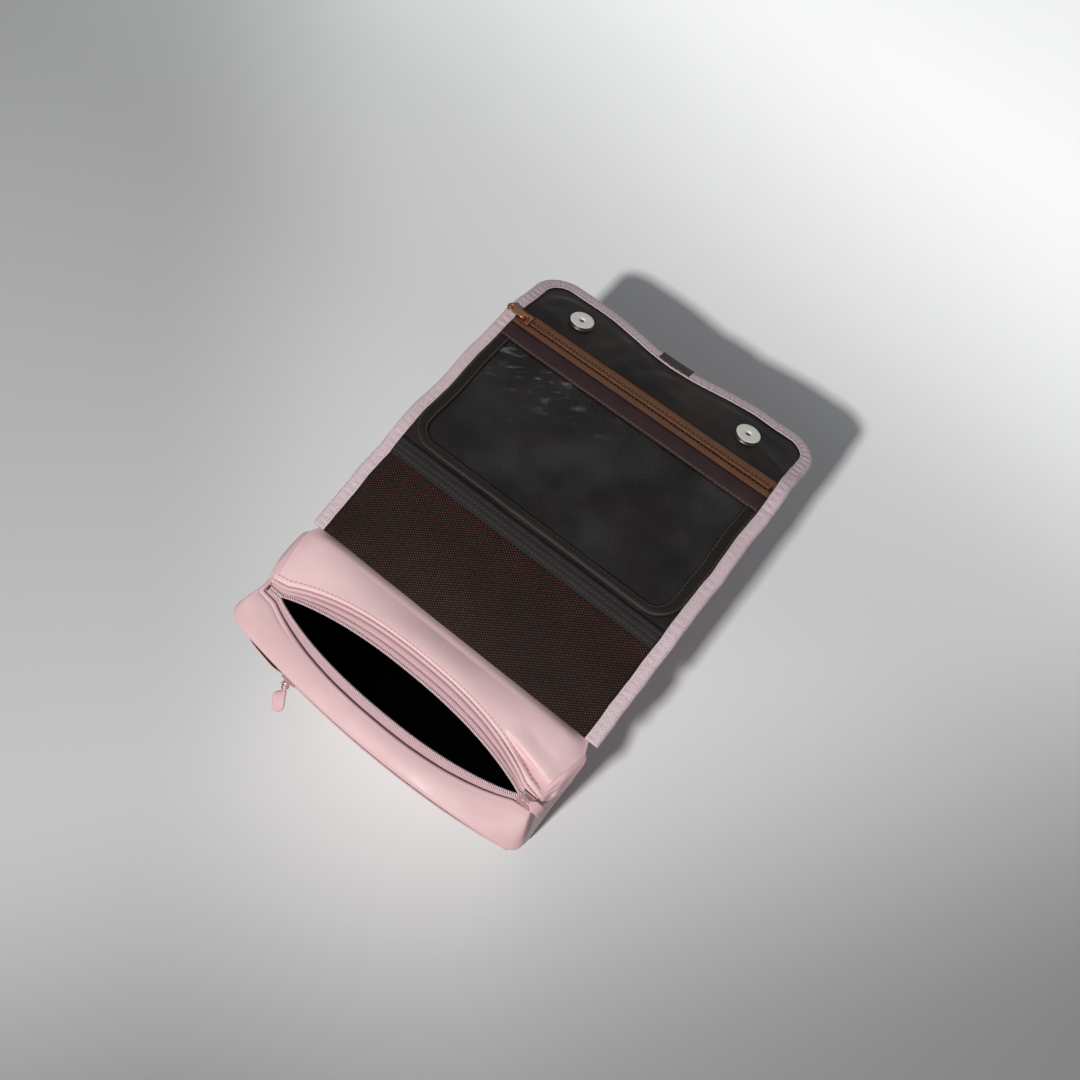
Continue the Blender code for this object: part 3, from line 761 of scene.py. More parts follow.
# The pale bluish colour is that of the film's haze and of its painted reflection and highlights.
FILM = Finish("clear_vinyl", Cloth.FILM, (231, 236, 240), 0.05, (221, 226, 230), bump=0.0006)


# Meshes


def span(wide: float, long: float) -> Metric:
    """Metric of a piece that is so wide along U and so long along V."""
    return lambda u, v: (u * wide, v * long)


def grid(name: str, nu: int, nv: int, place: Formula, metric: Metric, finish: Finish,
         thickness: float = 0.0, closed: bool = False, subdivide: int = 0) -> bpy.types.Object:
    """Lay a grid of cloth by a formula.

    Args:
        name: Name of the piece.
        nu: Cells along U.
        nv: Cells along V.
        place: Point for u and v from 0 to 1.
        metric: U and V in metres for u and v from 0 to 1.
        finish: Finish of the piece.
        thickness: Thickness of the cloth, to both sides, or 0 for none.
        closed: Whether U runs round and meets itself.
        subdivide: Levels of subdivision.

    Returns:
        The new object.
    """
    bm = bmesh.new()
    layer = bm.loops.layers.uv.new("UVMap")
    columns = nu if closed else nu + 1
    rows = [[bm.verts.new(place(i / nu, j / nv)) for i in range(columns)] for j in range(nv + 1)]
    for j in range(nv):
        for i in range(nu):
            k = (i + 1) % columns
            face = bm.faces.new((rows[j][i], rows[j][k], rows[j + 1][k], rows[j + 1][i]))
            face.smooth = True
            corners = ((i, j), (i + 1, j), (i + 1, j + 1), (i, j + 1))
            for loop, (a, b) in zip(face.loops, corners):
                loop[layer].uv = metric(a / nu, b / nv)
    mesh = bpy.data.meshes.new(name)
    bm.to_mesh(mesh)
    bm.free()
    return finished(name, mesh, finish, thickness, subdivide)


def evaluated(obj: bpy.types.Object) -> bpy.types.Object:
    """The object as its modifiers leave it."""
    return obj.evaluated_get(bpy.context.evaluated_depsgraph_get())


def apply(obj: bpy.types.Object) -> None:
    """Keep the mesh that an object's modifiers make, and drop the modifiers.

    Args:
        obj: The object.
    """
    done = bpy.data.meshes.new_from_object(evaluated(obj))
    obj.modifiers.clear()
    obj.data = done


def finished(name: str, mesh: bpy.types.Mesh, finish: Finish, thickness: float = 0.0,
             subdivide: int = 0) -> bpy.types.Object:
    """Make an object of a mesh, with its finish, thickness and subdivision applied.

    Args:
        name: Name of the piece.
        mesh: Its mesh.
        finish: Its finish.
        thickness: Thickness to both sides, or 0 for none.
        subdivide: Levels of subdivision.

    Returns:
        The new object.
    """
    obj = bpy.data.objects.new(name, mesh)
    bpy.context.scene.collection.objects.link(obj)
    mesh.materials.append(finish.material())
    if thickness:
        solid = obj.modifiers.new("Thickness", "SOLIDIFY")
        solid.thickness = thickness
        solid.offset = 0.0
    if subdivide:
        step = obj.modifiers.new("Smooth", "SUBSURF")
        step.levels = step.render_levels = subdivide
    if obj.modifiers:
        apply(obj)
    return obj


@dataclass(frozen=True)
class Winding:
    """Sizes of a zip's coil.

    Attributes:
        pitch: Length of a turn.
        radius: Radius of the coil's middle.
        wire: Radius of the wire.
    """

    pitch: float
    radius: float
    wire: float


MAIN_WINDING = Winding(1.2 * MM, 0.75 * MM, 0.45 * MM)
POCKET_WINDING = Winding(1.4 * MM, 0.65 * MM, 0.42 * MM)
WINDOW_WINDING = Winding(1.4 * MM, 0.7 * MM, 0.42 * MM)
POINTS_PER_TURN = 9


def coil(name: str, path: Row, across: Point, up: Point, length: float, winding: Winding,
         finish: Finish) -> bpy.types.Object:
    """Wind a zip's coil along a path.

    Args:
        name: Name of the piece.
        path: Point on the coil's middle line for t from 0 to 1.
        across: Direction across the zip.
        up: Direction out of the zip.
        length: Length of the path.
        winding: Sizes of the coil.
        finish: Finish of the coil.

    Returns:
        The new object.
    """
    turns = int(length / winding.pitch)
    count = turns * POINTS_PER_TURN
    curve = bpy.data.curves.new(name, "CURVE")
    curve.dimensions = "3D"
    curve.bevel_depth = winding.wire
    curve.bevel_resolution = 1
    spline = curve.splines.new("POLY")
    spline.points.add(count)
    for i, point in enumerate(spline.points):
        t = i / count
        angle = 2 * math.pi * turns * t
        place = Vector(path(t))
        place += Vector(across) * math.cos(angle) * winding.radius
        place += Vector(up) * math.sin(angle) * winding.radius
        point.co = (*place, 1.0)
    obj = bpy.data.objects.new(name, curve)
    bpy.context.scene.collection.objects.link(obj)
    mesh = bpy.data.meshes.new_from_object(evaluated(obj))
    bpy.data.objects.remove(obj)
    for face in mesh.polygons:
        face.use_smooth = True
    mesh.materials.clear()
    return finished(name, mesh, finish)


def turned(name: str, outline: Sequence[tuple[float, float]], seat: Matrix, finish: Finish,
           sides: int = 48) -> bpy.types.Object:
    """Turn an outline about its own axis.

    Args:
        name: Name of the piece.
        outline: Radius and height of each point.
        seat: Frame whose z is the axis.
        finish: Finish of the piece.
        sides: Number of sides.

    Returns:
        The new object.
    """
    def place(u: float, v: float) -> Point:
        """Point of the outline at v, turned by u."""
        radius, height = outline[round(v * (len(outline) - 1))]
        a = 2 * math.pi * u
        return tuple(seat @ Vector((radius * math.cos(a), radius * math.sin(a), height)))

    return grid(name, sides, len(outline) - 1, place, span(0.05, 0.01), finish, closed=True)


def smoothed(obj: bpy.types.Object) -> None:
    """Subdivide a piece once, for good.

    Args:
        obj: The piece.
    """
    step = obj.modifiers.new("Smooth", "SUBSURF")
    step.levels = step.render_levels = 1
    apply(obj)


def tie(piece: bpy.types.Object, body: str, slot: str, *nodes: str) -> None:
    """Let a piece ride on a body, and hide the nodes that it stands for.

    Args:
        piece: The piece.
        body: Body that it moves with.
        slot: Not used.
        nodes: CAD nodes that it replaces, if any.
    """
    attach(piece, body)
    if nodes:
        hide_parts(*nodes)


def settle(obj: bpy.types.Object, held: Callable[[Vector], float], pressure: float, cap: float,
           frames: int = 14) -> None:
    """Let a soft piece sag and fill out as cloth, then keep the shape that it takes.

    Args:
        obj: The piece.
        held: How firmly a point is held, from 0 to 1.
        pressure: Pressure from inside.
        cap: Longest way that a point may move.
        frames: Steps to run.
    """
    pins = obj.vertex_groups.new(name="held")
    for vert in obj.data.vertices:
        pins.add([vert.index], min(max(held(vert.co), 0.0), 1.0), "REPLACE")
    cloth = obj.modifiers.new("Settle", "CLOTH")
    cloth.settings.vertex_group_mass = "held"
    cloth.settings.quality = 6
    cloth.settings.mass = 0.35
    cloth.settings.tension_stiffness = cloth.settings.compression_stiffness = 25.0
    cloth.settings.bending_stiffness = 3.0
    cloth.settings.use_pressure = True
    cloth.settings.uniform_pressure_force = pressure
    cloth.collision_settings.use_collision = False
    cloth.point_cache.frame_start, cloth.point_cache.frame_end = 1, frames
    scene = bpy.context.scene
    for step in range(1, frames + 1):
        scene.frame_set(step)
    shape = evaluated(obj).to_mesh()
    moved = [Vector(vert.co) for vert in shape.vertices]
    obj.modifiers.clear()
    obj.vertex_groups.clear()
    for vert, place in zip(obj.data.vertices, moved):
        way = place - vert.co
        if way.length > cap:
            way *= cap / way.length
        vert.co += way
    scene.frame_set(1)


# The pouch


@dataclass
class Pouch:
    """The standing pouch: soft shell, front pocket, zips and lining.

    Attributes:
        half_width: Half width of the outline.
        half_depth: Half depth of the outline, without its bow.
        height: Height of the top.
        bow: How far the front bows out.
        back_corner: Radius of the back corners.
        front_corner: Radius of the front corners.
        mouth_y: Middle of the mouth.
        mouth_half: Half length of the mouth's zip.
        mouth_gap: Half width of the open mouth.
        mouth_end: Half length of the mouth between its lips' ends.
        tip_gap: Half width of the mouth at its ends.
        tape: Width of zip tape that the back and the front lip leave bare.
        teeth_z: Height of the mouth's zip.
        pocket_z: Height of the pocket's zip.
        socket_z: Height of the snap sockets.
        socket_x: Distance of a snap socket from the middle.
        bow_radius: Radius of the bowed front, for the sockets' slope.
        hinge_end: Y and Z at which the yoke meets the flap.
        pressure: Pressure that fills out the shell's walls.
        most: Longest way that a point of the walls may settle.
    """

    half_width: float = 117.6 * MM
    half_depth: float = 36 * MM
    height: float = 190 * MM
    bow: float = 9 * MM
    back_corner: float = 6 * MM
    front_corner: float = 8 * MM
    mouth_y: float = -8.5 * MM
    mouth_half: float = 108 * MM
    mouth_gap: float = 15 * MM
    mouth_end: float = 108.6 * MM
    tip_gap: float = 1.0 * MM
    tape: tuple[float, float] = (9 * MM, 6 * MM)
    teeth_z: float = 187.0 * MM
    pocket_z: float = 172 * MM
    socket_z: float = 44.7 * MM
    socket_x: float = 72 * MM
    bow_radius: float = 778 * MM
    hinge_end: tuple[float, float] = (43.2 * MM, 181.6 * MM)
    pressure: float = 0.7
    most: float = 2.0 * MM

    def front_y(self, x: float) -> float:
        """Outer face of the bowed front at x."""
        return -self.half_depth - self.bow * max(1 - (x / self.half_width) ** 2, 0.0)

    def teeth(self, x: float, side: int) -> float:
        """Line of the mouth's teeth.

        Args:
            x: Distance across.
            side: 1 for the back and -1 for the front.

        Returns:
            Y of the teeth.
        """
        t = min(abs(x) / (0.9 * self.mouth_half), 1.0)
        open_by = (self.mouth_gap - self.tip_gap) * (1 - t ** 2.3) ** 0.9
        return self.mouth_y + side * (self.tip_gap + open_by)

    def lip_reach(self, x: float, side: int) -> float:
        """Width of zip tape that the back (+1) or front (-1) lip leaves bare at x."""
        full = self.tape[0] if side > 0 else self.tape[1]
        return lerp(full, 2.4 * MM, min(abs(x) / self.mouth_end, 1.0) ** 3)

    def lip_rise(self, x: float, side: int) -> float:
        """Height of the lip over the pouch's top at x."""
        bulge = 1 - min(abs(x) / self.mouth_end, 1.0) ** 2
        return (4.6 * bulge - 1.6) * MM if side > 0 else (1.8 * bulge - 1.4) * MM

    def outline(self, t: float) -> tuple[float, float]:
        """Point on the pouch's rounded outline.

        Args:
            t: Share of the way round, from the middle of the back towards +X.

        Returns:
            X and Y, with the front bowed.
        """
        a, b, r, q = self.half_width, self.half_depth, self.back_corner, self.front_corner
        runs = (a - r, math.pi / 2 * r, 2 * b - r - q, math.pi / 2 * q, a - q)
        half = sum(runs)
        d, sign = t * 2 * half, 1.0
        if d > half:
            d, sign = 2 * half - d, -1.0
        if d < runs[0]:
            x, y = d, b
        elif d < sum(runs[:2]):
            turn = (d - runs[0]) / r
            x, y = a - r + r * math.sin(turn), b - r + r * math.cos(turn)
        elif d < sum(runs[:3]):
            x, y = a, b - r - (d - sum(runs[:2]))
        elif d < sum(runs[:4]):
            turn = (d - sum(runs[:3])) / q
            x, y = a - q + q * math.cos(turn), -(b - q) - q * math.sin(turn)
        else:
            x, y = a - q - (d - sum(runs[:4])), -b
        if y < 0:
            y -= self.bow * max(1 - (x / a) ** 2, 0.0) * smooth(0, b * 0.9, -y)
        return sign * x, y

    def rim(self, t: float) -> tuple[float, float]:
        """Point on the top edge: the outline, drawn in beside the ends of the mouth.

        Args:
            t: Share of the way round.

        Returns:
            X and Y.
        """
        x, y = self.outline(t)
        pull = 5.2 * MM * math.exp(-((y - self.mouth_y) / (13 * MM)) ** 2)
        return x - math.copysign(pull * smooth(0.86, 1.0, abs(x) / self.half_width), x), y

    def lip(self, t: float) -> tuple[float, float]:
        """Point on the mouth's lip that belongs to an outline point.

        Args:
            t: Share of the way round.

        Returns:
            X and Y.
        """
        x, y = self.outline(t)
        lx = x * self.mouth_end / self.half_width
        side = 1 if y > self.mouth_y else -1
        full = abs(self.teeth(lx, side) - self.mouth_y) + self.lip_reach(lx, side)
        span = self.half_depth - self.back_corner - self.mouth_y if side > 0 else (
            self.half_depth - self.front_corner + self.mouth_y)
        return lx, self.mouth_y + side * full * min(abs(y - self.mouth_y) / span, 1.0)

    @staticmethod
    def buckle(x: float, y: float) -> float:
        """Fold that runs from the lip to the right end of the back strip.

        Args:
            x: Place across.
            y: Place from front to back.

        Returns:
            Lift of the top there, below 0 in the fold's valley.
        """
        ax, ay, bx, by = 73 * MM, 14.5 * MM, 115 * MM, 5 * MM
        share = ((x - ax) * (bx - ax) + (y - ay) * (by - ay)) / ((bx - ax) ** 2 + (by - ay) ** 2)
        fade = smooth(-0.15, 0.3, share) * smooth(1.3, 0.95, share)
        off = ((y - ay) * (bx - ax) - (x - ax) * (by - ay)) / math.hypot(bx - ax, by - ay)
        valley = -4.6 * smooth(0.9 * MM, -0.7 * MM, off) * smooth(-7 * MM, -1.2 * MM, off)
        ridge = 2.0 * smooth(-0.5 * MM, 1.0 * MM, off) * smooth(13 * MM, 2 * MM, off)
        return (valley + ridge) * MM * fade

    def top_point(self, t: float, share: float) -> Point:
        """Point on the top between lip and edge.

        Args:
            t: Share of the way round.
            share: 0 at the lip and 1 at the edge.

        Returns:
            The point on the soft top.
        """
        lx, ly = self.lip(t)
        ex, ey = self.rim(t)
        x, y = lerp(lx, ex, share), lerp(ly, ey, share)
        side = 1 if ey > self.mouth_y else -1
        low = -1.2 * MM - (3.0 * MM * (1 - (ex / self.half_width) ** 2) if side > 0 else
                           5.6 * MM * smooth(0.55, 1.0, ex / self.half_width))
        rise = lerp(self.lip_rise(lx, side), low, share ** 1.25)
        puff = (1.4 if side > 0 else 1.0) * MM * math.sin(math.pi * share) ** 0.8
        soft = 1.1 * MM * ripple(x * 17, y * 24, 3.0) + 0.4 * MM * ripple(x * 48, y * 60, 8.0)
        ends = 0.9 * MM * smooth(0.8, 1.0, abs(x) / self.half_width) * ripple(x * 60, y * 110, 1.0)
        shoulder = -4.6 * MM * smooth(0.84, 1.0, abs(x) / self.half_width) * share ** 3
        z = self.height + rise + shoulder + puff + (soft + ends) * math.sin(math.pi * share) + (
            self.buckle(x, y) * smooth(1.0, 0.8, share) if side > 0 else 0.0)
        return x, y, z

    def top_share(self, t: float, dist: float) -> float:
        """Share of the way from lip to edge that lies a distance from the lip.

        Args:
            t: Share of the way round.
            dist: Distance from the lip.

        Returns:
            The share, 0.45 at most.
        """
        lx, ly = self.lip(t)
        ex, ey = self.rim(t)
        return min(dist / max(math.hypot(ex - lx, ey - ly), 1e-6), 0.45)

    def shell(self) -> None:
        """Leather shell from the lips over the top edge and down to the base."""
        near = [(-1.4, -2.4), (-0.3, -1.9), (0.0, -0.9), (0.4, -0.25), (1.0, 0.0), (1.8, -0.05),
                (2.4, -0.35), (3.0, -0.9), (3.6, -0.4), (4.6, 0.0), (7.0, 0.0)]
        share = [0.55, 0.68, 0.8, 0.9, 0.96]
        edge = [(-0.3, -2.0), (-0.3, -3.2), (1.0, -4.4), (1.3, -9.0)]
        walls = [177, 170, 158, 142, 124, 104, 84, 64, 44, 26, 14]
        foot = [(0.4, 8.0), (1.4, 4.2), (3.2, 1.6), (6.0, 0.3), (10.0, 0.0), (20.0, 0.4),
                (34.0, 0.6)]

        def near_row(dist: float, drop: float) -> Row:
            """Row of points beside the lip.

            Args:
                dist: Distance from the lip in millimetres.
                drop: Lift in millimetres, below 0 for down.

            Returns:
                The row.
            """
            def at(t: float) -> Point:
                """Point of the row."""
                if dist < 0:
                    _, ly = self.lip(t)
                    x, _, z = self.top_point(t, 0.0)
                    side = 1 if ly > self.mouth_y else -1
                    return x, ly - side * dist * MM * 0.6, z + drop * MM
                x, y, z = self.top_point(t, self.top_share(t, dist * MM))
                seam = 1.0
                if dist > 1.5 and y < self.mouth_y:
                    seam = lerp(0.1, 0.9, smooth(-66 * MM, -92 * MM, x))
                return x, y, z + drop * seam * MM
            return at

        def edge_row(inset: float, drop: float) -> Row:
            """Row of points round the top edge.

            Args:
                inset: Distance in from the edge in millimetres.
                drop: Lift in millimetres, below 0 for down.

            Returns:
                The row.
            """
            def at(t: float) -> Point:
                """Point of the row."""
                x, y = self.rim(t)
                front = smooth(0.0, -0.9 * self.half_depth, y)
                out = 0.8 * MM * (1 - front * smooth(-3.4, -4.4, drop)) - inset * MM
                return (x + math.copysign(out, x) * smooth(0.9, 1.0, abs(x) / self.half_width),
                        y + math.copysign(out, y) * smooth(0.3, 0.9, abs(y) / self.half_depth),
                        self.top_point(t, 1.0)[2] + (drop + 1.2) * MM)
            return at

        def wall_row(z: float, inset: float = 0.0) -> Row:
            """Row of points round the walls or the foot.

            Args:
                z: Height in millimetres.
                inset: Distance in from the wall in millimetres.

            Returns:
                The row.
            """
            def at(t: float) -> Point:
                """Point of the row."""
                (x, y), (rx, ry) = self.outline(t), self.rim(t)
                wide = abs(x) / self.half_width
                x, y = (lerp(a, b, smooth(95, 177, z)) for a, b in ((x, rx), (y, ry)))
                level = min(max(z / 190, 0.0), 1.0)
                soft = math.sin(math.pi * level)
                tuck = 6.0 * MM * soft * smooth(0.9, 1.0, wide) * max(1 - (y / (34 * MM)) ** 2, 0.0)
                swell = soft * (1.0 * MM * ripple(x * 18, y * 18, z * 0.022) + 0.3 * MM)
                length = math.hypot(x, y)
                wide, deep = (1 - inset * MM / half for half in (self.half_width, self.half_depth))
                return (x * wide - math.copysign(tuck, x) + x / length * swell,
                        y * deep + y / length * swell * 0.8, z * MM)
            return at

        rows: list[Row] = [near_row(*item) for item in near]
        rows += [lambda t, part=part: self.top_point(t, part) for part in share]
        rows += [edge_row(*item) for item in edge] + [wall_row(z) for z in walls]
        rows += [wall_row(z, inset) for inset, z in foot]
        count, across = 184, len(rows) - 1
        spans = [0.0]
        for j in range(across):
            spans.append(spans[-1] + (Vector(rows[j + 1](0.02)) - Vector(rows[j](0.02))).length)
        around = 0.62
        shell = grid(
            "pouch_shell", count, across, lambda u, v: rows[round(v * across)](u),
            lambda u, v: (u * around, spans[round(v * across)] + 0.02 * (0.2 < u < 0.8)), LIP,
            closed=True)
        settle(shell, lambda p: smooth(16 * MM, 5 * MM, p.z) + smooth(160 * MM, 184 * MM, p.z),
               self.pressure, self.most)
        smoothed(shell)
        bm = bmesh.new()
        bm.from_mesh(shell.data)
        rim = [e for e in bm.edges if e.is_boundary and e.verts[0].co.z < 20 * MM]
        bmesh.ops.holes_fill(bm, edges=rim, sides=0)
        bm.to_mesh(shell.data)
        bm.free()
        tie(shell, "pouch", "pink_leather", "bottom_panel", "back_panel", "front_panel",
            "left_gusset", "right_gusset", "top_back_strip", "top_front_strip", "front_top_band",
            "base_board")

    def yoke(self) -> None:
        """Leather from the seam beside the back lip over the top edge to the flap, in a copy of the
        pink leather painted lighter as light on the top strip.
        """
        over = [(0.0, 0.0), (2.2, -0.9), (4.0, -2.5), (5.6, -4.4), (7.2, -6.4)]
        steps = 26
        rows = steps + len(over)
        reach = 0.1925

        def place(u: float, v: float) -> Point:
            """Point of the yoke, from the seam over the edge to the flap."""
            t = lerp(-reach, reach, u)
            row = round(v * (rows - 1))
            if row < steps:
                start = self.top_share(t % 1.0, 3.1 * MM)
                x, y, z = self.top_point(t % 1.0, lerp(start, 1.0, (row / steps) ** 1.3))
                ends = smooth(1.0, 0.93, abs(2 * u - 1))
                return x, y, z + lerp(-0.6, (-0.5, 0.55)[row] if row < 2 else 0.8, ends) * MM
            ahead, drop = over[row - steps]
            x, y, z = self.top_point(t % 1.0, 1.0)
            share = ahead / over[-1][0]
            low = 0.3 * MM * ripple(x * 40, share * 3)
            ends = smooth(1.0, 0.93, abs(2 * u - 1))
            z = lerp(z + lerp(-0.6, 0.8, ends) * MM, self.hinge_end[1], -drop / 6.4)
            return (x * (1 - 0.03 * share), lerp(max(y, 0.0), self.hinge_end[0], share),
                    z + low * share)

        piece = grid("back_yoke", 180, rows - 1, place,
                     lambda u, v: (u * 0.232, (v * (rows - 1) / steps) ** 1.3 * 0.028 + 0.0022),
                     LIT_YOKE, 1.1 * MM, subdivide=1)
        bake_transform(piece)
        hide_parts("flap_fold_strip")

    def lining(self) -> None:
        """Lining inside the pouch, in a copy of the lining colour painted darker as shade."""
        levels = [(0.12, 187.0), (0.3, 185.6), (0.62, 182.6), (0.93, 176), (0.955, 150),
                  (0.955, 100), (0.955, 40), (0.94, 12), (0.86, 6.5), (0.5, 6.2), (0.002, 6.2)]

        def place(u: float, v: float) -> Point:
            """Point of the lining, from the lip down to the base."""
            part, z = levels[round(v * (len(levels) - 1))]
            lx, ly = self.lip(u)
            ex, ey = self.rim(u) if z > 140 else self.outline(u)
            wide = abs(ex) / self.half_width
            if z > 180:
                inward = 2.5 * MM * part * smooth(0.8, 0.95, wide)
                return lerp(lx, ex, part) - math.copysign(inward, ex), lerp(ly, ey, part), z * MM
            tuck = 6 * MM * math.sin(math.pi * z / 190) * smooth(0.9, 1.0, wide)
            fold = abs(1.2 * MM * ripple(ex * 24, ey * 24, z * 0.012))
            return (ex * part - math.copysign(tuck, ex),
                    ey * part * 0.94 - math.copysign(fold, ey), z * MM)

        piece = grid("pouch_inner_lining", 96, len(levels) - 1, place, span(0.6, 0.25), SHADED_INSIDE,
                     closed=True, subdivide=1)
        tie(piece, "pouch", "dark_lining", "pouch_lining")

    def mouth_zip(self) -> None:
        """Tapes, coils and end tabs of the main zip."""
        reach = self.mouth_half - 1 * MM

        def level(x: float, side: int) -> float:
            """Height of the zip at x."""
            return self.teeth_z + max(self.lip_rise(x, side), -0.4 * MM) * 0.8

        for side, word in ((1, "back"), (-1, "front")):
            def tape(u: float, v: float, side: int = side) -> Point:
                """Point of a tape, from its teeth out to under the lip."""
                x = lerp(-reach - 1.5 * MM, reach + 1.5 * MM, u)
                lift = 0.25 * MM * ripple(x * 60, side * 3.0)
                z = level(x, side)
                reach_in = self.lip_reach(x, side)
                d = lerp(1.0 * MM, reach_in + 3 * MM, v)
                if side > 0:
                    crease = 0.52 * reach_in
                    dent = -1.3 * math.exp(-((d - crease) / (0.7 * MM)) ** 2)
                    rise = 1.0 * smooth(crease, crease + 1.2 * MM, d)
                    fold = (dent + rise - 0.9 * smooth(reach_in - 1.5 * MM, reach_in, d)) * MM
                else:
                    fold = -0.4 * MM * smooth(reach_in - 1.4 * MM, reach_in, d)
                fold *= smooth(0.0, 5 * MM, reach_in - 2.4 * MM)
                return (x, self.teeth(x, side) + side * d,
                        lerp(z, z + 0.3 * MM, v) + lift * (1 - v) + fold)

            piece = grid(f"mouth_tape_{word}", 72, 26, tape, span(0.22, 0.0095), PINK_TAPE,
                         0.8 * MM)
            tie(piece, "pouch", "pink_zip", f"main_zip_tape_{word}")

            def line(t: float, side: int = side) -> Point:
                """Point on the coil's middle line."""
                x = lerp(-reach, reach, t)
                return x, self.teeth(x, side), level(x, side) + 0.1 * MM

            teeth = coil(f"mouth_coil_{word}", line, (0, 1, 0), (0, 0, 1), 2 * reach, MAIN_WINDING,
                         PINK_COIL)
            tie(teeth, "pouch", "pink_zip", f"main_zip_teeth_{word}")
        for side, word in ((-1, "left"), (1, "right")):
            def end(u: float, v: float, side: int = side) -> Point:
                """Point of an end tab."""
                crown = 0.7 * MM * (1 - (2 * u - 1) ** 2)
                return (side * lerp(108.8, 111.6, v) * MM, self.mouth_y + lerp(-5.4, 5.4, u) * MM,
                        186.8 * MM + crown - 1.2 * MM * smooth(0.6, 1.0, v))

            tab = grid(f"mouth_end_{word}", 10, 6, end, span(0.012, 0.006), PINK_TAPE, 0.9 * MM,
                       subdivide=1)
            tie(tab, "pouch", "pink_zip", f"main_zip_end_{word}")

    def pocket_gape(self, x: float) -> float:
        """How far the front pocket's mouth stands open at x."""
        return 2.0 * MM * smooth(-112 * MM, -98 * MM, x) * smooth(-66 * MM, -80 * MM, x)

    def front_pocket(self) -> None:
        """Front pocket panel with its zip."""
        reach = 112 * MM

        def proud(x: float) -> float:
            """How far the pocket's top edge stands out at x."""
            return 1.0 * MM + 1.8 * MM * (1 - (x / reach) ** 6)

        def panel(u: float, v: float) -> Point:
            """Point of the pocket's panel, from its foot to its top edge."""
            x = lerp(-reach, reach, u)
            z = lerp(8 * MM, self.pocket_z - 5.4 * MM, v)
            swell = 0.3 * MM * math.sin(math.pi * v) * (1 - (2 * u - 1) ** 4)
            swell += 0.25 * MM * ripple(x * 22, z * 22, 4.0)
            gape = self.pocket_gape(x) * smooth(0.7, 1.0, v)
            out = lerp(0.5 * MM, proud(x), smooth(0.75, 1.0, v))
            below = smooth(1.0, 0.8, v)
            tuck = 2.4 * MM * smooth(0.95, 1.0, abs(2 * u - 1)) * below
            tuck += 2.0 * MM * smooth(0.05, 0.0, v)
            return x, self.front_y(x) - out - swell * below - gape + tuck, z - gape * 0.4

        piece = grid("front_pocket", 80, 40, panel,
                     lambda u, v: (u * 0.23, (1 - v) * 0.16 + 0.0005), LIP, 1.0 * MM)
        tie(piece, "pouch", "pink_leather", "front_pocket_panel")
        for word, z0, z1 in (("lower", -6.0, -1.5), ("upper", 1.5, 7.4)):
            def tape(u: float, v: float, word: str = word, z0: float = z0, z1: float = z1) -> Point:
                """Point of a zip tape."""
                x = lerp(-reach, reach, u)
                gape = self.pocket_gape(x) if word == "lower" else 0.0
                z = self.pocket_z + lerp(z0, z1, v) * MM - gape * 0.4
                return x, self.front_y(x) - 0.3 * MM - gape * 0.3, z

            strip = grid(f"pocket_tape_{word}", 60, 3, tape, span(0.23, 0.006), PINK_TAPE, 0.8 * MM)
            tie(strip, "pouch", "pink_zip", f"pocket_zip_tape_{word}")

        def gap(u: float, v: float) -> Point:
            """Point of the dark strip behind the pocket's top edge, a painted shadow inside the
            pocket's mouth.
            """
            x = lerp(-112 * MM, 110 * MM, u)
            gape = self.pocket_gape(x)
            out = lerp(proud(x) - 0.4 * MM + gape, 0.1 * MM, v)
            z = self.pocket_z + lerp(-6.6, -4.0, v) * MM - gape * 0.4
            return x, self.front_y(x) - out, z

        # A dark strip painted as the shadow inside the pocket's mouth.
        shade = grid("pocket_inside", 60, 4, gap, span(0.22, 0.008), SHADED_INSIDE)
        tie(shade, "pouch", "dark_lining")

        def line(t: float) -> Point:
            """Point on the coil's middle line."""
            x = lerp(-58 * MM, 106 * MM, t)
            return x, self.front_y(x) - 0.9 * MM, self.pocket_z

        teeth = coil("pocket_coil", line, (0, 0, 1), (0, -1, 0), 164 * MM, POCKET_WINDING,
                     PINK_COIL)
        tie(teeth, "pouch", "pink_zip", "pocket_zip_coil")

    def sockets(self) -> None:
        """Magnetic snap sockets low on the front."""
        for side, word in ((-1, "left"), (1, "right")):
            x = side * self.socket_x
            slope = math.asin(x / self.bow_radius)
            seat = Matrix.Translation((x, self.front_y(x) - 0.5 * MM, self.socket_z))
            seat = seat @ Matrix.Rotation(slope, 4, "Z") @ Matrix.Rotation(math.pi / 2, 4, "X")
            Snap("socket", word, seat, "pouch", f"snap_socket_{word}").build()

    def build(self) -> None:
        """Build every piece of the pouch."""
        self.shell()
        self.yoke()
        self.lining()
        self.mouth_zip()
        self.front_pocket()
        self.sockets()


# The snaps


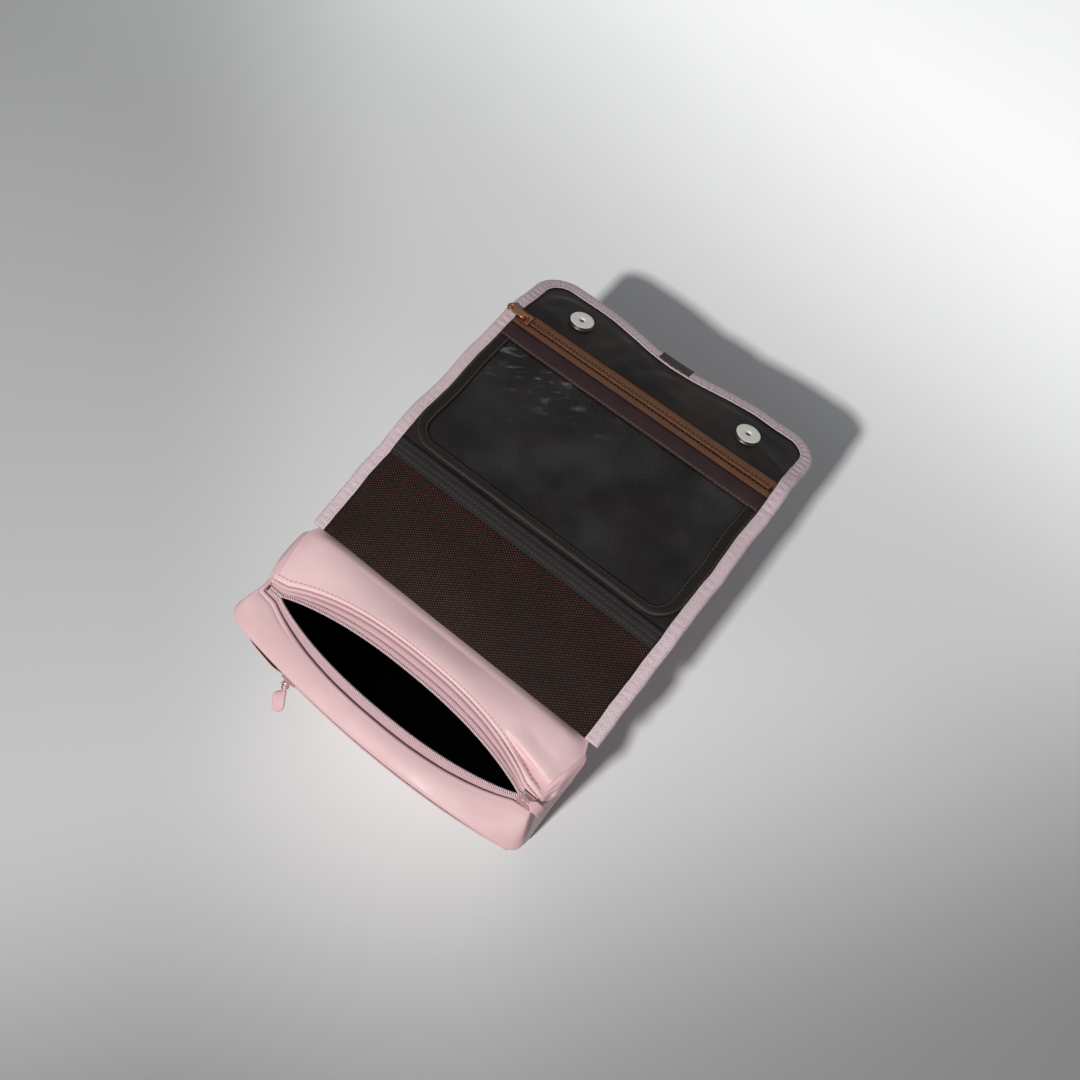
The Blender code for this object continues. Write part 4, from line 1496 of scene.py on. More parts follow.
@dataclass(frozen=True)
class Snap:
    """One half of a magnetic snap: a bright ring whose side is painted dark as shade, and the core
    in its hole.

    Attributes:
        kind: First word of the pieces' names.
        word: Last word of their names.
        seat: Frame whose z is the axis.
        body: Body that it rides on.
        node: Node that it replaces.
        ring: Radius and height in millimetres along the ring, from its hole to its foot.
        core: Radius and height in millimetres along the core.
        side: Radius from which the ring is painted dark, a painted shade on its side.
        foot: Height under which the ring is painted dark outside its face, a painted shade.
        face: Radius of the ring's flat face.
    """

    kind: str
    word: str
    seat: Matrix
    body: str
    node: str
    ring: tuple[tuple[float, float], ...] = (
        (2.0, 1.0), (2.1, 2.3), (2.3, 2.55), (2.6, 2.65), (4.0, 2.7), (6.0, 2.7), (7.8, 2.7),
        (8.2, 2.68), (8.8, 2.5), (9.2, 2.15), (9.35, 1.7), (9.2, 1.2), (8.6, 1.0), (8.4, 0.6),
        (9.2, 0.4), (9.3, 0.0))
    core: tuple[tuple[float, float], ...] = (
        (2.1, 1.2), (1.4, 1.1), (1.0, 1.5), (0.5, 1.6), (0.01, 1.6))
    side: float = 8.95 * MM
    foot: float = 2 * MM
    face: float = 5 * MM

    def turn(self, part: str, outline: Sequence[tuple[float, float]],
             finish: Finish) -> bpy.types.Object:
        """Turn one piece of the snap.

        Args:
            part: Middle word of its name.
            outline: Radius and height in millimetres.
            finish: Its finish.

        Returns:
            The piece.
        """
        points = [(radius * MM, height * MM) for radius, height in outline]
        return turned(f"{self.kind}_{part}_{self.word}", points, self.seat, finish)

    def build(self) -> None:
        """Build the ring and the core."""
        ring, core = self.turn("ring", self.ring, NICKEL), self.turn("core", self.core, SNAP_CORE_AND_SIDE_SHADE)
        ring.data.materials.append(SNAP_CORE_AND_SIDE_SHADE.material())
        # The ring's side and foot take the core's dark finish: a painted shade.
        back = self.seat.inverted()
        for face in ring.data.polygons:
            x, y, height = back @ face.center
            radius = math.hypot(x, y)
            low = radius > self.face and height < self.foot
            face.material_index = int(radius > self.side or low)
        tie(ring, self.body, "nickel", self.node)
        tie(core, self.body, "nickel")


# The flap


class Side(Enum):
    """Sides of the line at which the flap's skin, lining and edge tape are split."""

    FIRST = "first"
    SECOND = "second"


@dataclass
class Flap:
    """The fold-out flap: skin, lining, pockets, binding, snaps and tab on three panels.

    Attributes:
        half: Half width.
        start: Y and Z of the hinge's end of the flap.
        root_end: Distance along the flap of the crease after the first panel.
        tip_start: Distance along the flap of the bend before the tip.
        total: Length of the flap.
        tilts: Slope of the three panels in degrees.
        soften: Half length over which a crease bends.
        reach: Half length on each side of a crease.
        corner: Radius of the tip's corners.
        notch: Depth of the notch in the tip.
        notch_reach: Half width of the notch.
        split: Distance along the flap at which skin, lining and edge tape are split.
        inner: Half width of the pockets, between the edge tapes.
        inset: Distance of the skin's and the lining's edge from the flap's.
        snap_x: Distance of a snap from the middle.
        snap_s: Distance of the snaps along the flap.
        tab_half: Half width of the webbing tab.
        tab_reach: Length of the webbing tab on each face.
        track: Y, Z and slope of the flap's side view at each step.
        step: Length of a step.
    """

    half: float = 118.6 * MM
    start: tuple[float, float] = (42.5 * MM, 181.5 * MM)
    root_end: float = 83.7 * MM
    tip_start: float = 213.85 * MM
    total: float = 266.3 * MM
    tilts: tuple[float, float, float] = (7.0, -2.0, -23.0)
    soften: float = 12 * MM
    reach: float = 9 * MM
    corner: float = 23 * MM
    notch: float = 9 * MM
    notch_reach: float = 70 * MM
    split: float = 192 * MM
    inner: float = 109 * MM
    inset: float = 1.8 * MM
    snap_x: float = 72 * MM
    snap_s: float = 215.3 * MM + 18.5 * MM
    tab_half: float = 13 * MM
    tab_reach: float = 9.5 * MM
    track: list[tuple[float, float, float]] = field(default_factory=list)
    step: float = 0.5 * MM

    def __post_init__(self) -> None:
        """Lay out the flap's side view from its tilts."""
        y, z = self.start
        for i in range(int(self.total / self.step) + 60):
            s = i * self.step
            tilt = self.tilts[0]
            for crease, before, after in ((self.root_end, *self.tilts[:2]),
                                          (self.tip_start, *self.tilts[1:])):
                bent = smooth(crease - self.soften, crease + self.soften, s)
                tilt += (after - before) * bent
            a = math.radians(tilt)
            self.track.append((y, z, a))
            y += math.cos(a) * self.step
            z += math.sin(a) * self.step

    def at(self, x: float, s: float, n: float = 0.0) -> Point:
        """Point on the flap.

        Args:
            x: Distance across.
            s: Distance along from the hinge.
            n: Distance out of the lining.

        Returns:
            The point in the part's frame.
        """
        edge = smooth(50 * MM, self.half, abs(x)) * smooth(0.0, 25 * MM, s)
        side = math.copysign(1.0, x)
        wave = 0.8 * MM * ripple(x * 9, s * 11, 6.0) * smooth(0, 0.04, s)
        n += 1.5 * MM * edge * ripple(s * 26, side * 4.0) + wave
        ruffle = 1.0 * MM * ripple(s * 34, side * 7.0) + 0.4 * MM * ripple(s * 95, side * 2.0)
        x += side * edge * ruffle
        i = min(max(s / self.step, 0.0), len(self.track) - 1.001)
        k = int(i)
        y, z, a = self.track[k]
        more = s - k * self.step
        y, z = y + math.cos(a) * more, z + math.sin(a) * more
        return x, y - math.sin(a) * n, z + math.cos(a) * n

    def tip_edge(self, x: float) -> float:
        """How far the flap reaches at x, with its notch."""
        turn = math.pi * min(abs(x) / self.notch_reach, 1.0)
        return self.total - self.notch * (1 + math.cos(turn)) / 2

    def tip_half(self, s: float, inset: float) -> float:
        """Half width with the rounded corners.

        Args:
            s: Distance along from the hinge.
            inset: Distance in from the flap's edge.

        Returns:
            The half width.
        """
        r, reach = self.corner - inset, self.total - inset
        over = min(max(s - (reach - r), 0.0), r)
        return self.half - inset - r + math.sqrt(max(r * r - over * over, 0.0))

    def _hold(self, piece: bpy.types.Object, part: Side, slot: str, *nodes: str) -> None:
        """Bake a piece's place into its mesh and hide the nodes that it replaces.

        Args:
            piece: The piece.
            part: Its side of the split.
            slot: Not used.
            nodes: CAD nodes that it replaces.
        """
        if part is Side.FIRST:
            crease, bodies = self.root_end, ("flap_root", "flap_mid")
        else:
            crease, bodies = self.tip_start, ("flap_mid", "flap_tip")
        self.at(0, crease - self.reach)
        self.at(0, crease + self.reach)
        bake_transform(piece)
        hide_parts(*nodes)

    def cover(self, name: str, part: Side, depth: float, finish: Finish, slot: str,
              thickness: float, wrinkle: Callable[[float, float], float],
              nodes: Sequence[str]) -> None:
        """Skin or lining over one side of the split.

        Args:
            name: Name of the piece.
            part: Its side of the split.
            depth: Depth from the lining's middle.
            finish: Its finish.
            slot: Its material slot.
            thickness: Its thickness.
            wrinkle: Lift of the surface at x and s.
            nodes: CAD nodes that it replaces.
        """
        first = part is Side.FIRST
        s0, s1 = (0.0, self.split + 2 * MM) if first else (self.split, self.total - self.inset)
        under = math.copysign(0.3 * MM, -depth) if depth else -0.3 * MM

        def place(u: float, v: float) -> Point:
            """Point of the skin or lining."""
            s = lerp(s0, s1, v)
            half = self.half - self.inset if first else self.tip_half(s, self.inset)
            x = lerp(-1, 1, u) * half
            if first:
                lap = under * smooth(self.split - 4 * MM, self.split - 1 * MM, s)
            else:
                lap = 0.0
                s -= (self.total - self.tip_edge(x)) * smooth(self.tip_start, self.total, s)
            return self.at(x, s, depth + lap + wrinkle(x, s))

        piece = grid(name, 96, 64, place,
                     lambda u, v: (lerp(-self.half, self.half, u), lerp(s0, s1, v)), finish,
                     thickness)
        self._hold(piece, part, slot, *nodes)

    def covers(self) -> None:
        """Outer skin and lining on both sides of the split."""
        def skin(x: float, s: float) -> float:
            """Lift of the skin."""
            return 0.15 * MM * ripple(x * 30, s * 30)

        def creased(x: float, s: float) -> float:
            """Lift of the lining, which is loose and creased at the tip.

            Args:
                x: Distance across.
                s: Distance along from the hinge.

            Returns:
                The lift.
            """
            end = self.tip_edge(x)
            free = smooth(self.tip_start + 1 * MM, self.tip_start + 12 * MM, s) * smooth(
                self.inner, self.inner - 12 * MM, abs(x)) * smooth(end - 10 * MM, end - 20 * MM, s)
            fold = ripple(x * 32 + 9 * ripple(x * 12, s * 12), s * 55, 2.0)
            return 0.12 * MM * ripple(x * 60, s * 60) + free * (0.9 * MM * fold + 0.5 * MM)

        for part, nodes in ((Side.FIRST, ("root_outer", "mid_outer")),
                            (Side.SECOND, ("tip_outer",))):
            self.cover(f"flap_skin_{part.value}", part, -1.3 * MM, PINK, "pink_leather", 1.2 * MM,
                       skin, nodes)
        for part, nodes in ((Side.FIRST, ("root_lining", "mid_lining")),
                            (Side.SECOND, ("tip_lining",))):
            self.cover(f"flap_lining_{part.value}", part, 0.0, SATIN, "dark_lining", 0.8 * MM,
                       creased, nodes)

    def net_pocket(self) -> None:
        """Net pocket with its hem on the first panel."""
        length = 69.8 * MM

        def net(u: float, v: float) -> Point:
            """Point of the slack net."""
            x, s = lerp(-self.inner, self.inner, u), lerp(-0.5 * MM, length, v)
            slack = 3.4 * MM * (1 - (2 * u - 1) ** 2) * math.sin(math.pi * v) ** 0.7
            fold = ripple(x * 16, s * 38, 1.0) * 0.8 * MM * math.sin(math.pi * v)
            return self.at(x, s, 1.1 * MM + max(slack + fold, 0.0))

        piece = grid("net_pocket", 84, 40, net,
                     lambda u, v: (lerp(-self.inner, self.inner, u), v * length), NET, 0.6 * MM)
        tie(piece, "flap_root", "mesh", "mesh_pocket")

        def hem(u: float, v: float) -> Point:
            """Point of the hem."""
            x, s = lerp(-self.inner, self.inner, u), lerp(length - 1.2 * MM, 82.6 * MM, v)
            wave = 0.35 * MM * ripple(x * 90, v * 2, 3.0)
            return self.at(x, s, 1.5 * MM + wave + 0.5 * MM * math.sin(math.pi * v))

        band = grid("net_hem_band", 110, 8, hem,
                    lambda u, v: (lerp(-self.inner, self.inner, u), v * 0.0135), HEM, 0.8 * MM)
        tie(band, "flap_root", "mesh", "mesh_hem")

    def window(self) -> None:
        """Clear window pocket with its tape frame, header and zip on the middle panel."""
        base = 84.4 * MM
        top = 102 * MM

        def film(u: float, v: float) -> Point:
            """Point of the wavy film."""
            s = lerp(3.0 * MM, top, v)
            low = max(17 * MM - (s - 3.0 * MM), 0.0)
            half = self.inner - 3 * MM - (17 * MM - math.sqrt(max((17 * MM) ** 2 - low ** 2, 0.0)))
            x = lerp(-half, half, u)
            bulge = math.sin(math.pi * u) * math.sin(math.pi * v)
            wave = (0.7 * ripple(x * 20, s * 24, 5.0) + 0.3 * ripple(x * 50, s * 46, 6.0)) * bulge
            return self.at(x, base + s, 1.0 * MM + max(1.1 * MM * bulge + 1.2 * MM * wave, 0.0))

        sheet = grid("window_film", 72, 44, film, span(0.216, 0.1), FILM, 0.4 * MM)
        tie(sheet, "flap_mid", "clear_window", "window_sheet")
        self.at(0, base + 50 * MM, 1.0 * MM)
        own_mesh(sheet)

        outer, r = self.inner, 20 * MM
        side, arc, sill = top - 1.0 * MM - r, r * math.pi / 2, 2 * (outer - r)
        around = 2 * side + 2 * arc + sill

        def frame(u: float, v: float) -> Point:
            """Point of the tape round the film."""
            t = u * around
            mirror = -1.0
            if t > around / 2:
                t, mirror = around - t, 1.0
            width = lerp(9 * MM, 6 * MM, smooth(side, side + arc, t)) * v
            if t < side:
                x, s, dx, ds = outer, top - 0.6 * MM - t, -1.0, 0.0
            elif t < side + arc:
                turn = (t - side) / r
                dx, ds = -math.cos(turn), math.sin(turn)
                x, s = outer - r - dx * r, top - 0.6 * MM - side - ds * r
            else:
                x, s, dx, ds = outer - r - (t - side - arc), top - 0.6 * MM - side - r, 0.0, 1.0
            lift = 0.25 * MM * ripple(t * 90, v, 2.0) + 0.35 * MM * math.sin(math.pi * v)
            return self.at(mirror * (x + dx * width), base + s + ds * width, 2.2 * MM + lift)

        tape = grid("window_frame_tape", 150, 5, frame, span(around, 0.009), FRAME, 0.7 * MM)
        tie(tape, "flap_mid", "dark_webbing", "window_binding")

        def band(u: float, v: float) -> Point:
            """Point of the header."""
            x, s = lerp(-self.inner, self.inner, u), lerp(top - 1 * MM, 113.6 * MM, v)
            lift = 2.3 * MM + 0.25 * MM * ripple(x * 60, v) + 0.35 * MM * math.sin(math.pi * v)
            return self.at(x, base + s, lift)

        header = grid("window_header_tape", 90, 6, band, span(0.218, 0.0126), HEADER, 0.7 * MM)
        tie(header, "flap_mid", "dark_webbing", "window_header")
        for word, s0, s1, flip in (("lower", 113.2, 119.7, False), ("upper", 122.3, 127.9, True)):
            def strip(u: float, v: float, s0: float = s0, s1: float = s1) -> Point:
                """Point of a zip tape."""
                x = lerp(-self.inner, self.inner, u)
                lift = 1.3 * MM + 0.2 * MM * ripple(x * 70, v + s0)
                return self.at(x, base + lerp(s0, s1, v) * MM, lift)

            piece = grid(f"window_tape_{word}", 72, 4, strip,
                         lambda u, v, flip=flip: (u * 0.218, (1 - v if flip else v) * 0.006),
                         COPPER_TAPE, 0.7 * MM)
            tie(piece, "flap_mid", "copper_zip", f"window_zip_tape_{word}")
        teeth = coil("window_coil",
                     lambda t: self.at(lerp(-106, 106, t) * MM, base + 121 * MM, 1.6 * MM),
                     (0, 1, 0), (0, 0, 1), 212 * MM, WINDOW_WINDING, COPPER_COIL)
        tie(teeth, "flap_mid", "copper_zip", "window_zip_coil")

    @staticmethod
    def wrap(v: float, width: float, top: float, under: float) -> tuple[float, float]:
        """Cross-section of a tape folded round an edge.

        Args:
            v: Share of the way from the inner face's edge to the outer face's.
            width: Width of the tape on each face.
            top: Depth of the tape on the lining's face.
            under: Depth of the tape on the outer face.

        Returns:
            Distance in from the edge, and depth.
        """
        middle, half = (top + under) / 2, (top - under) / 2
        if v < 0.4:
            return lerp(width, half, v / 0.4), top
        if v > 0.6:
            return lerp(half, width, (v - 0.6) / 0.4), under
        turn = math.pi * (v - 0.4) / 0.2
        return half - half * math.sin(turn), middle + half * math.cos(turn)

    def path(self, t: float) -> tuple[float, float, float, float]:
        """Flap's edge from the left end of the split round the tip to the right end.

        Args:
            t: Distance along the edge.

        Returns:
            X and s of the edge, and its inward direction.
        """
        side, arc = self.total - self.corner - self.split, self.corner * math.pi / 2
        whole = 2 * side + 2 * arc + 2 * (self.half - self.corner)
        mirror = 1.0
        if t > whole / 2:
            t, mirror = whole - t, -1.0
        if t < side:
            return -self.half * mirror, self.split + t, mirror, 0.0
        if t < side + arc:
            turn = (t - side) / self.corner
            out_x, out_s = -math.cos(turn) * mirror, math.sin(turn)
            return ((-self.half + self.corner) * mirror + out_x * self.corner,
                    self.total - self.corner + out_s * self.corner, -out_x, -out_s)
        x = (-self.half + self.corner + t - side - arc) * mirror
        slope = (self.tip_edge(x + 0.5 * MM) - self.tip_edge(x - 0.5 * MM)) / MM
        long = math.hypot(slope, 1.0)
        return x, self.tip_edge(x), slope / long, -1.0 / long

    def binding(self) -> None:
        """Puckered grosgrain tape round the flap's edge."""
        width, top, under = 9.6 * MM, 1.3 * MM, -2.8 * MM

        def pucker(t: float, v: float, seed: float) -> float:
            """Lift of the puckered tape.

            Args:
                t: Distance along the edge.
                v: Share of the way round the tape.
                seed: Place in the noise.

            Returns:
                The lift.
            """
            swing = math.sin(t / (5.2 * MM) * 2 * math.pi + 2.4 * ripple(t * 40, seed))
            depth = 0.6 * MM * swing * (0.5 + 0.6 * ripple(t * 70, seed + 4, v))
            return depth * math.sin(math.pi * min(v / 0.4, 1.0))

        for sign, word in ((-1, "left"), (1, "right")):
            def edge(u: float, v: float, sign: int = sign) -> Point:
                """Point of the tape along one side."""
                s = lerp(0.2 * MM, self.split + 3 * MM, u)
                tuck = 0.35 * MM * smooth(self.split - 3 * MM, self.split - 0.5 * MM, s)
                inward, depth = self.wrap(v, width, top - tuck, under + tuck)
                inward += tuck
                wave = 0.35 * MM * ripple(s * 60, sign * 5.0)
                depth += pucker(s, v, sign * 3.0)
                return self.at(sign * (self.half + wave - inward), s, depth)

            piece = grid(f"edge_tape_{word}", 130, 20, edge,
                         lambda u, v: (u * self.split, abs(v - 0.5) * 0.024), BINDING, 0.7 * MM)
            self._hold(piece, Side.FIRST, "edge_binding", f"root_binding_{word}",
                       f"mid_binding_{word}")
        end = 2 * (self.half - self.corner)
        whole = 2 * (self.total - self.corner - self.split) + self.corner * math.pi + end

        def round_tip(u: float, v: float) -> Point:
            """Point of the tape round the tip."""
            t = u * whole
            x, s, dx, ds = self.path(t)
            inward, depth = self.wrap(v, width, top, under)
            sign = -1 if t < whole / 2 else 1
            along = self.split + min(t, whole - t)
            inward -= 0.35 * MM * ripple(along * 60, sign * 5.0)
            return self.at(x + dx * inward, s + ds * inward, depth + pucker(along, v, sign * 3.0))

        piece = grid("edge_tape_tip", 380, 20, round_tip,
                     lambda u, v: (u * whole, abs(v - 0.5) * 0.024), BINDING, 0.7 * MM)
        self._hold(piece, Side.SECOND, "edge_binding", "tip_binding")

    def tip_pieces(self) -> None:
        """Snap discs and the webbing tab."""
        for side, word in ((-1, "left"), (1, "right")):
            place = Vector(self.at(side * self.snap_x, self.snap_s, 0.9 * MM))
            seat = Matrix.Translation(place) @ Matrix.Rotation(math.radians(self.tilts[2]), 4, "X")
            Snap("snap", word, seat, "flap_tip", f"snap_cap_{word}").build()

        def loop(u: float, v: float) -> Point:
            """Point of the webbing, folded round the edge."""
            x = lerp(-self.tab_half, self.tab_half, u)
            inward, depth = self.wrap(v, self.tab_reach, 2.2 * MM, -4.0 * MM)
            depth += 0.25 * MM * ripple(x * 90, v * 3)
            return self.at(x, self.tip_edge(x) + 1.4 * MM - inward, depth)

        tab = grid("webbing_tab", 24, 24, loop, lambda u, v: (v * 0.03, u * 0.026), WEBBING,
                   0.8 * MM)
        tie(tab, "flap_tip", "dark_webbing", "hanger_tab")

    def build(self) -> None:
        """Build every piece of the flap."""
        self.covers()
        self.net_pocket()
        self.window()
        self.binding()
        self.tip_pieces()


# Sliders and pullers


SLIDERS: dict[str, Finish] = {
    "main_slider": PINK_METAL, "pocket_slider": PINK_METAL, "window_slider": COPPER}


@dataclass
class Hardware:
    """Sliders that stay as the part has them, two soft pull tabs and a flat puller.

    Attributes:
        frame: The loaded part.
        pocket_pin: Pin of the pocket zip's puller.
        main_pin: Pin of the main zip's puller.
        window_pin: Pin of the window zip's puller.
        main_length: Length of the main tab.
        main_droop: Degrees by which the main tab droops.
        pocket_length: Length of the pocket's tab.
        pocket_turn: Degrees by which the pocket's tab twists.
        window_tilt: Slope of the window's puller in degrees.
    """

    frame: dict
    pocket_pin: Point = (-61.43 * MM, -47.99 * MM, 172 * MM)
    main_pin: Point = (104 * MM, -8.5 * MM, 191.9 * MM)
    window_pin: Point = (-101 * MM, 246.82 * MM, 194.42 * MM)
    main_length: float = 17 * MM
    main_droop: float = 68.0
    pocket_length: float = 17.5 * MM
    pocket_turn: float = 78.0
    window_tilt: float = -2.0

    def main_tab(self) -> None:
        """Soft tab of the main zip, which hangs over the end of the pouch."""
        pin, length = Vector(self.main_pin), self.main_length

        def droop(d: float) -> float:
            """Slope of the tab at a distance from its pin."""
            return math.radians(self.main_droop) * smooth(5 * MM, 13 * MM, d)

        def tab(u: float, v: float) -> Point:
            """Point of the drooping tab."""
            d = lerp(0.6 * MM, length, v)
            steps = 12
            ahead = down = 0.0
            for i in range(steps):
                turn = droop(d * (i + 0.5) / steps)
                ahead += math.cos(turn) * d / steps
                down += math.sin(turn) * d / steps
            left = min((length - d) / (3.4 * MM), 1.0)
            wide = lerp(1.5 * MM, 3.5 * MM, smooth(3 * MM, 6 * MM, d))
            wide *= math.sqrt(max(1 - (1 - left) ** 4, 0.05))
            return (pin.x + ahead, pin.y + lerp(-wide, wide, u),
                    pin.z - down + 0.1 * MM * math.cos(droop(d)))

        piece = grid("main_pull_tab", 8, 24, tab, span(0.007, length), PINK_TAB, 1.6 * MM,
                     subdivide=1)
        tie(piece, "main_puller", "pink_tab", "main_puller")
        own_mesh(piece)

    def window_pull(self) -> None:
        """Flat puller of the window zip, with a hole in its round end."""
        pin, tilt = Vector(self.window_pin), math.radians(self.window_tilt)
        reach, round_end, hole, stem = 12.7 * MM, 3.1 * MM, 1.5 * MM, 2.6 * MM

        def plate(u: float, v: float) -> Point:
            """Point of the plate, from its hole out to its edge."""
            a = 2 * math.pi * u
            ahead, aside = math.cos(a), math.sin(a)
            far = round_end
            if ahead > 0:
                far = max(far, min((reach + 0.5 * MM) / ahead, stem / max(abs(aside), 1e-6)))
            d = lerp(hole, far, v)
            across = d * aside
            return (pin.x - reach + d * ahead, pin.y + across * math.cos(tilt),
                    pin.z + across * math.sin(tilt))

        piece = grid("window_pull", 96, 4, plate, span(0.02, 0.004), COPPER, 1.3 * MM, closed=True)
        tie(piece, "window_puller", "copper_metal", "window_puller")

    def pocket_tab(self) -> None:
        """Soft tab of the pocket zip, twisted so that its flat side looks up."""
        pin, node = Vector(self.pocket_pin), self.frame["nodes"]["pocket_puller"]
        far = max((vert.co - pin for vert in node.data.vertices), key=lambda way: way.length)
        ahead = Vector((far.x, far.y, 0)).normalized()
        aside, length = Vector((-ahead.y, ahead.x, 0)), self.pocket_length

        def width(d: float) -> float:
            """Half width of the tab.

            Args:
                d: Distance from the pin.

            Returns:
                The half width.
            """
            neck = lerp(1.6 * MM, 4.3 * MM, smooth(3.5 * MM, 6.0 * MM, d))
            left = min((length - d) / (4.1 * MM), 1.0)
            return neck * math.sqrt(max(1 - (1 - left) ** 2, 0.02))

        def tab(u: float, v: float) -> Point:
            """Point of the twisted tab."""
            d = lerp(1.2 * MM, length, v)
            turn = math.radians(self.pocket_turn) * smooth(2 * MM, 6 * MM, d)
            out = lerp(-1, 1, u) * width(d) - 2.8 * MM * smooth(2 * MM, 7 * MM, d)
            droop = 2.0 * MM * smooth(6 * MM, length, d)
            lift = Vector((0, 0, out * math.cos(turn) - droop))
            return tuple(pin + ahead * d + aside * (out * math.sin(turn)) + lift)

        piece = grid("pocket_pull_tab", 8, 26, tab, span(0.008, length), PINK_TAB, 1.7 * MM,
                     subdivide=1)
        tie(piece, "pocket_puller", "pink_tab", "pocket_puller")
        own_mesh(piece)

        def ring(u: float, v: float) -> Point:
            """Point of the ring that holds the tab."""
            a, b = 2 * math.pi * u, 2 * math.pi * v
            r = 2.0 * MM + 0.55 * MM * math.cos(b)
            return tuple(pin + ahead * (1.6 * MM + r * math.cos(a)) + aside * (r * math.sin(a))
                         + Vector((0, 0, 0.55 * MM * math.sin(b))))

        loop = grid("pocket_pull_ring", 24, 10, ring, span(0.01, 0.003), PINK_METAL, closed=True)
        tie(loop, "pocket_puller", "pink_metal")

    def build(self) -> None:
        """Dress each slider and build the tabs and the puller."""
        for node, finish in SLIDERS.items():
            piece = self.frame["nodes"][node]
            piece.data.materials.clear()
            piece.data.materials.append(finish.material())
        self.pocket_tab()
        self.main_tab()
        self.window_pull()


# The studio


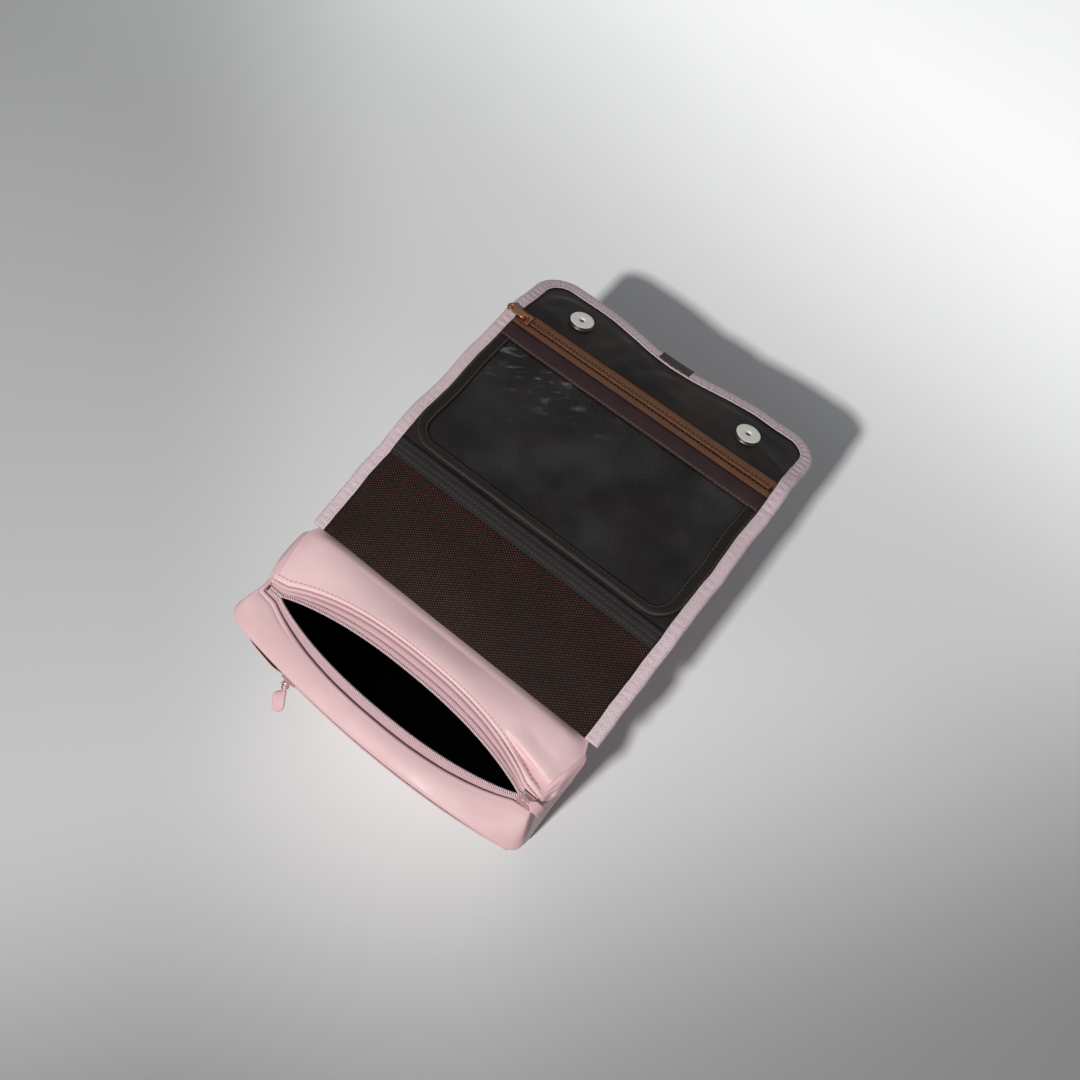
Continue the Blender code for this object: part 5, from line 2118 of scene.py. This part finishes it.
@dataclass
class Studio:
    """Floor, light and camera.

    Attributes:
        eye: Place of the camera.
        target: Point that the camera looks at.
        lens: Focal length in millimetres.
        sensor: Width of the camera's sensor in millimetres.
        key: Place of the lamp.
        aim: Point that the lamp looks at.
        power: Watts of the lamp.
        lamp_size: Side of the lamp.
        lamp_tint: Colour of the lamp.
        sky_tint: Colour of the surroundings.
        fill: Strength of the surroundings as a light.
        backdrop: Strength of the surroundings as seen.
        floor_half: Half width of the floor.
        paper: Display colour of the floor.
    """

    eye: Point = (0.1250, -0.0217, 0.7458)
    target: Point = (0.0086, 0.125, 0.187)
    lens: float = 30.0
    sensor: float = 36.0
    key: Point = (0.0, -0.725, 1.35)
    aim: Point = (0.02, 0.13, 0.1)
    power: float = 19.0
    lamp_size: float = 0.075
    lamp_tint: Point = (1.0, 0.985, 0.965)
    sky_tint: tuple[float, float, float, float] = (0.93, 0.97, 1.0, 1)
    fill: float = 0.175
    backdrop: float = 0.45
    floor_half: float = 6.0
    paper: tuple[int, int, int] = (218, 219, 220)

    def floor(self) -> None:
        """Pale floor that keeps the shadow, with painted light: its colour is darker towards the
        front and lighter towards the back, and towards the back and far away it glows for rays that
        see it.
        """
        mesh = bpy.data.meshes.new("floor")
        size = self.floor_half
        corners = [(-size, -size, 0), (size, -size, 0), (size, size, 0), (-size, size, 0)]
        mesh.from_pydata(corners, [], [(0, 1, 2, 3)])
        obj = bpy.data.objects.new("floor", mesh)
        bpy.context.scene.collection.objects.link(obj)
        mat = bpy.data.materials.new("floor_paper_painted_light")
        mat.use_nodes = True
        graph = Graph(mat.node_tree)
        shader = mat.node_tree.nodes["Principled BSDF"]
        shader.inputs["Roughness"].default_value = 0.9
        shader.inputs["Specular IOR Level"].default_value = 0.1
        place = graph.add("NewGeometry").outputs["Position"]
        x, y, _ = graph.split(place)
        # Painted light falloff: the floor's colour is darker towards the front and lighter towards
        # the back.
        front = graph.math("MULTIPLY_ADD", y, -0.9, x)
        left = graph.math("SUBTRACT", graph.math("MULTIPLY", x, -1.0), y)
        level = graph.math("MULTIPLY", graph.ramp(front, -0.02, 0.44, 1.14, 0.46, True),
                           graph.ramp(y, 0.25, 0.6, 1.0, 1.38, True))
        level = graph.math("MULTIPLY", level, graph.ramp(left, -0.05, 0.36, 1.0, 0.7, True))
        level = graph.math("MULTIPLY", level, graph.ramp(x, -0.85, -0.4, 1.1, 1.0, True))
        graph.feed(shader.inputs["Base Color"], graph.mix(level, (0, 0, 0, 1), linear(self.paper)))
        far = graph.math("SQRT", graph.math("MULTIPLY_ADD", x, x, graph.math("MULTIPLY", y, y)))
        # Painted pool of light: the floor glows towards the back and far away, for rays that see
        # it, though it is no lamp.
        painted_glow = graph.ramp(graph.math("MULTIPLY_ADD", x, 0.1, y), 0.4, 0.85, 0.0, 0.45, True)
        painted_glow = graph.math("MULTIPLY_ADD", painted_glow, graph.ramp(far, 1.1, 1.9, 1.0, 0.0, True),
                          graph.ramp(far, 1.0, 1.7, 0.0, 0.5, True))
        graph.feed(shader.inputs["Emission Color"], (1.0, 1.0, 0.99, 1.0))
        graph.feed(shader.inputs["Emission Strength"], graph.math("MULTIPLY", painted_glow, graph.seen()))
        mesh.materials.append(mat)

    @staticmethod
    def point_at(name: str, data: bpy.types.ID, place: Point, aim: Point) -> bpy.types.Object:
        """Set up a lamp or camera that looks at a point.

        Args:
            name: Its name.
            data: Its data.
            place: Its place.
            aim: The point that it looks at.

        Returns:
            The new object.
        """
        obj = bpy.data.objects.new(name, data)
        obj.location = place
        obj.rotation_euler = (Vector(aim) - Vector(place)).to_track_quat("-Z", "Y").to_euler()
        bpy.context.scene.collection.objects.link(obj)
        return obj

    def build(self) -> None:
        """Set up the floor, lamp, world and camera."""
        scene = bpy.context.scene
        scene.view_settings.view_transform = "Standard"
        self.floor()
        light = bpy.data.lights.new("key", "AREA")
        light.energy = self.power
        light.size = self.lamp_size
        light.color = self.lamp_tint
        self.point_at("key", light, self.key, self.aim)
        world = bpy.data.worlds.new("studio")
        world.use_nodes = True
        graph = Graph(world.node_tree)
        back = world.node_tree.nodes["Background"]
        back.inputs["Color"].default_value = self.sky_tint
        graph.feed(back.inputs["Strength"], graph.ramp(
            graph.seen(), 0.0, 1.0, self.fill, self.backdrop))
        scene.world = world
        data = bpy.data.cameras.new("camera")
        data.lens = self.lens
        data.sensor_width = self.sensor
        scene.camera = self.point_at("camera", data, self.eye, self.target)


def main() -> None:
    """Build the bag and its studio, and log the name of each piece."""
    logging.basicConfig(level=logging.INFO)
    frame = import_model()
    Studio().build()
    for builder in (Pouch(), Flap(), Hardware(frame)):
        known = set(bpy.data.objects.keys())
        builder.build()
        for name in sorted(set(bpy.data.objects.keys()) - known):
            LOG.info("%s: %s", type(builder).__name__, name)


if __name__ == "__main__":
    main()
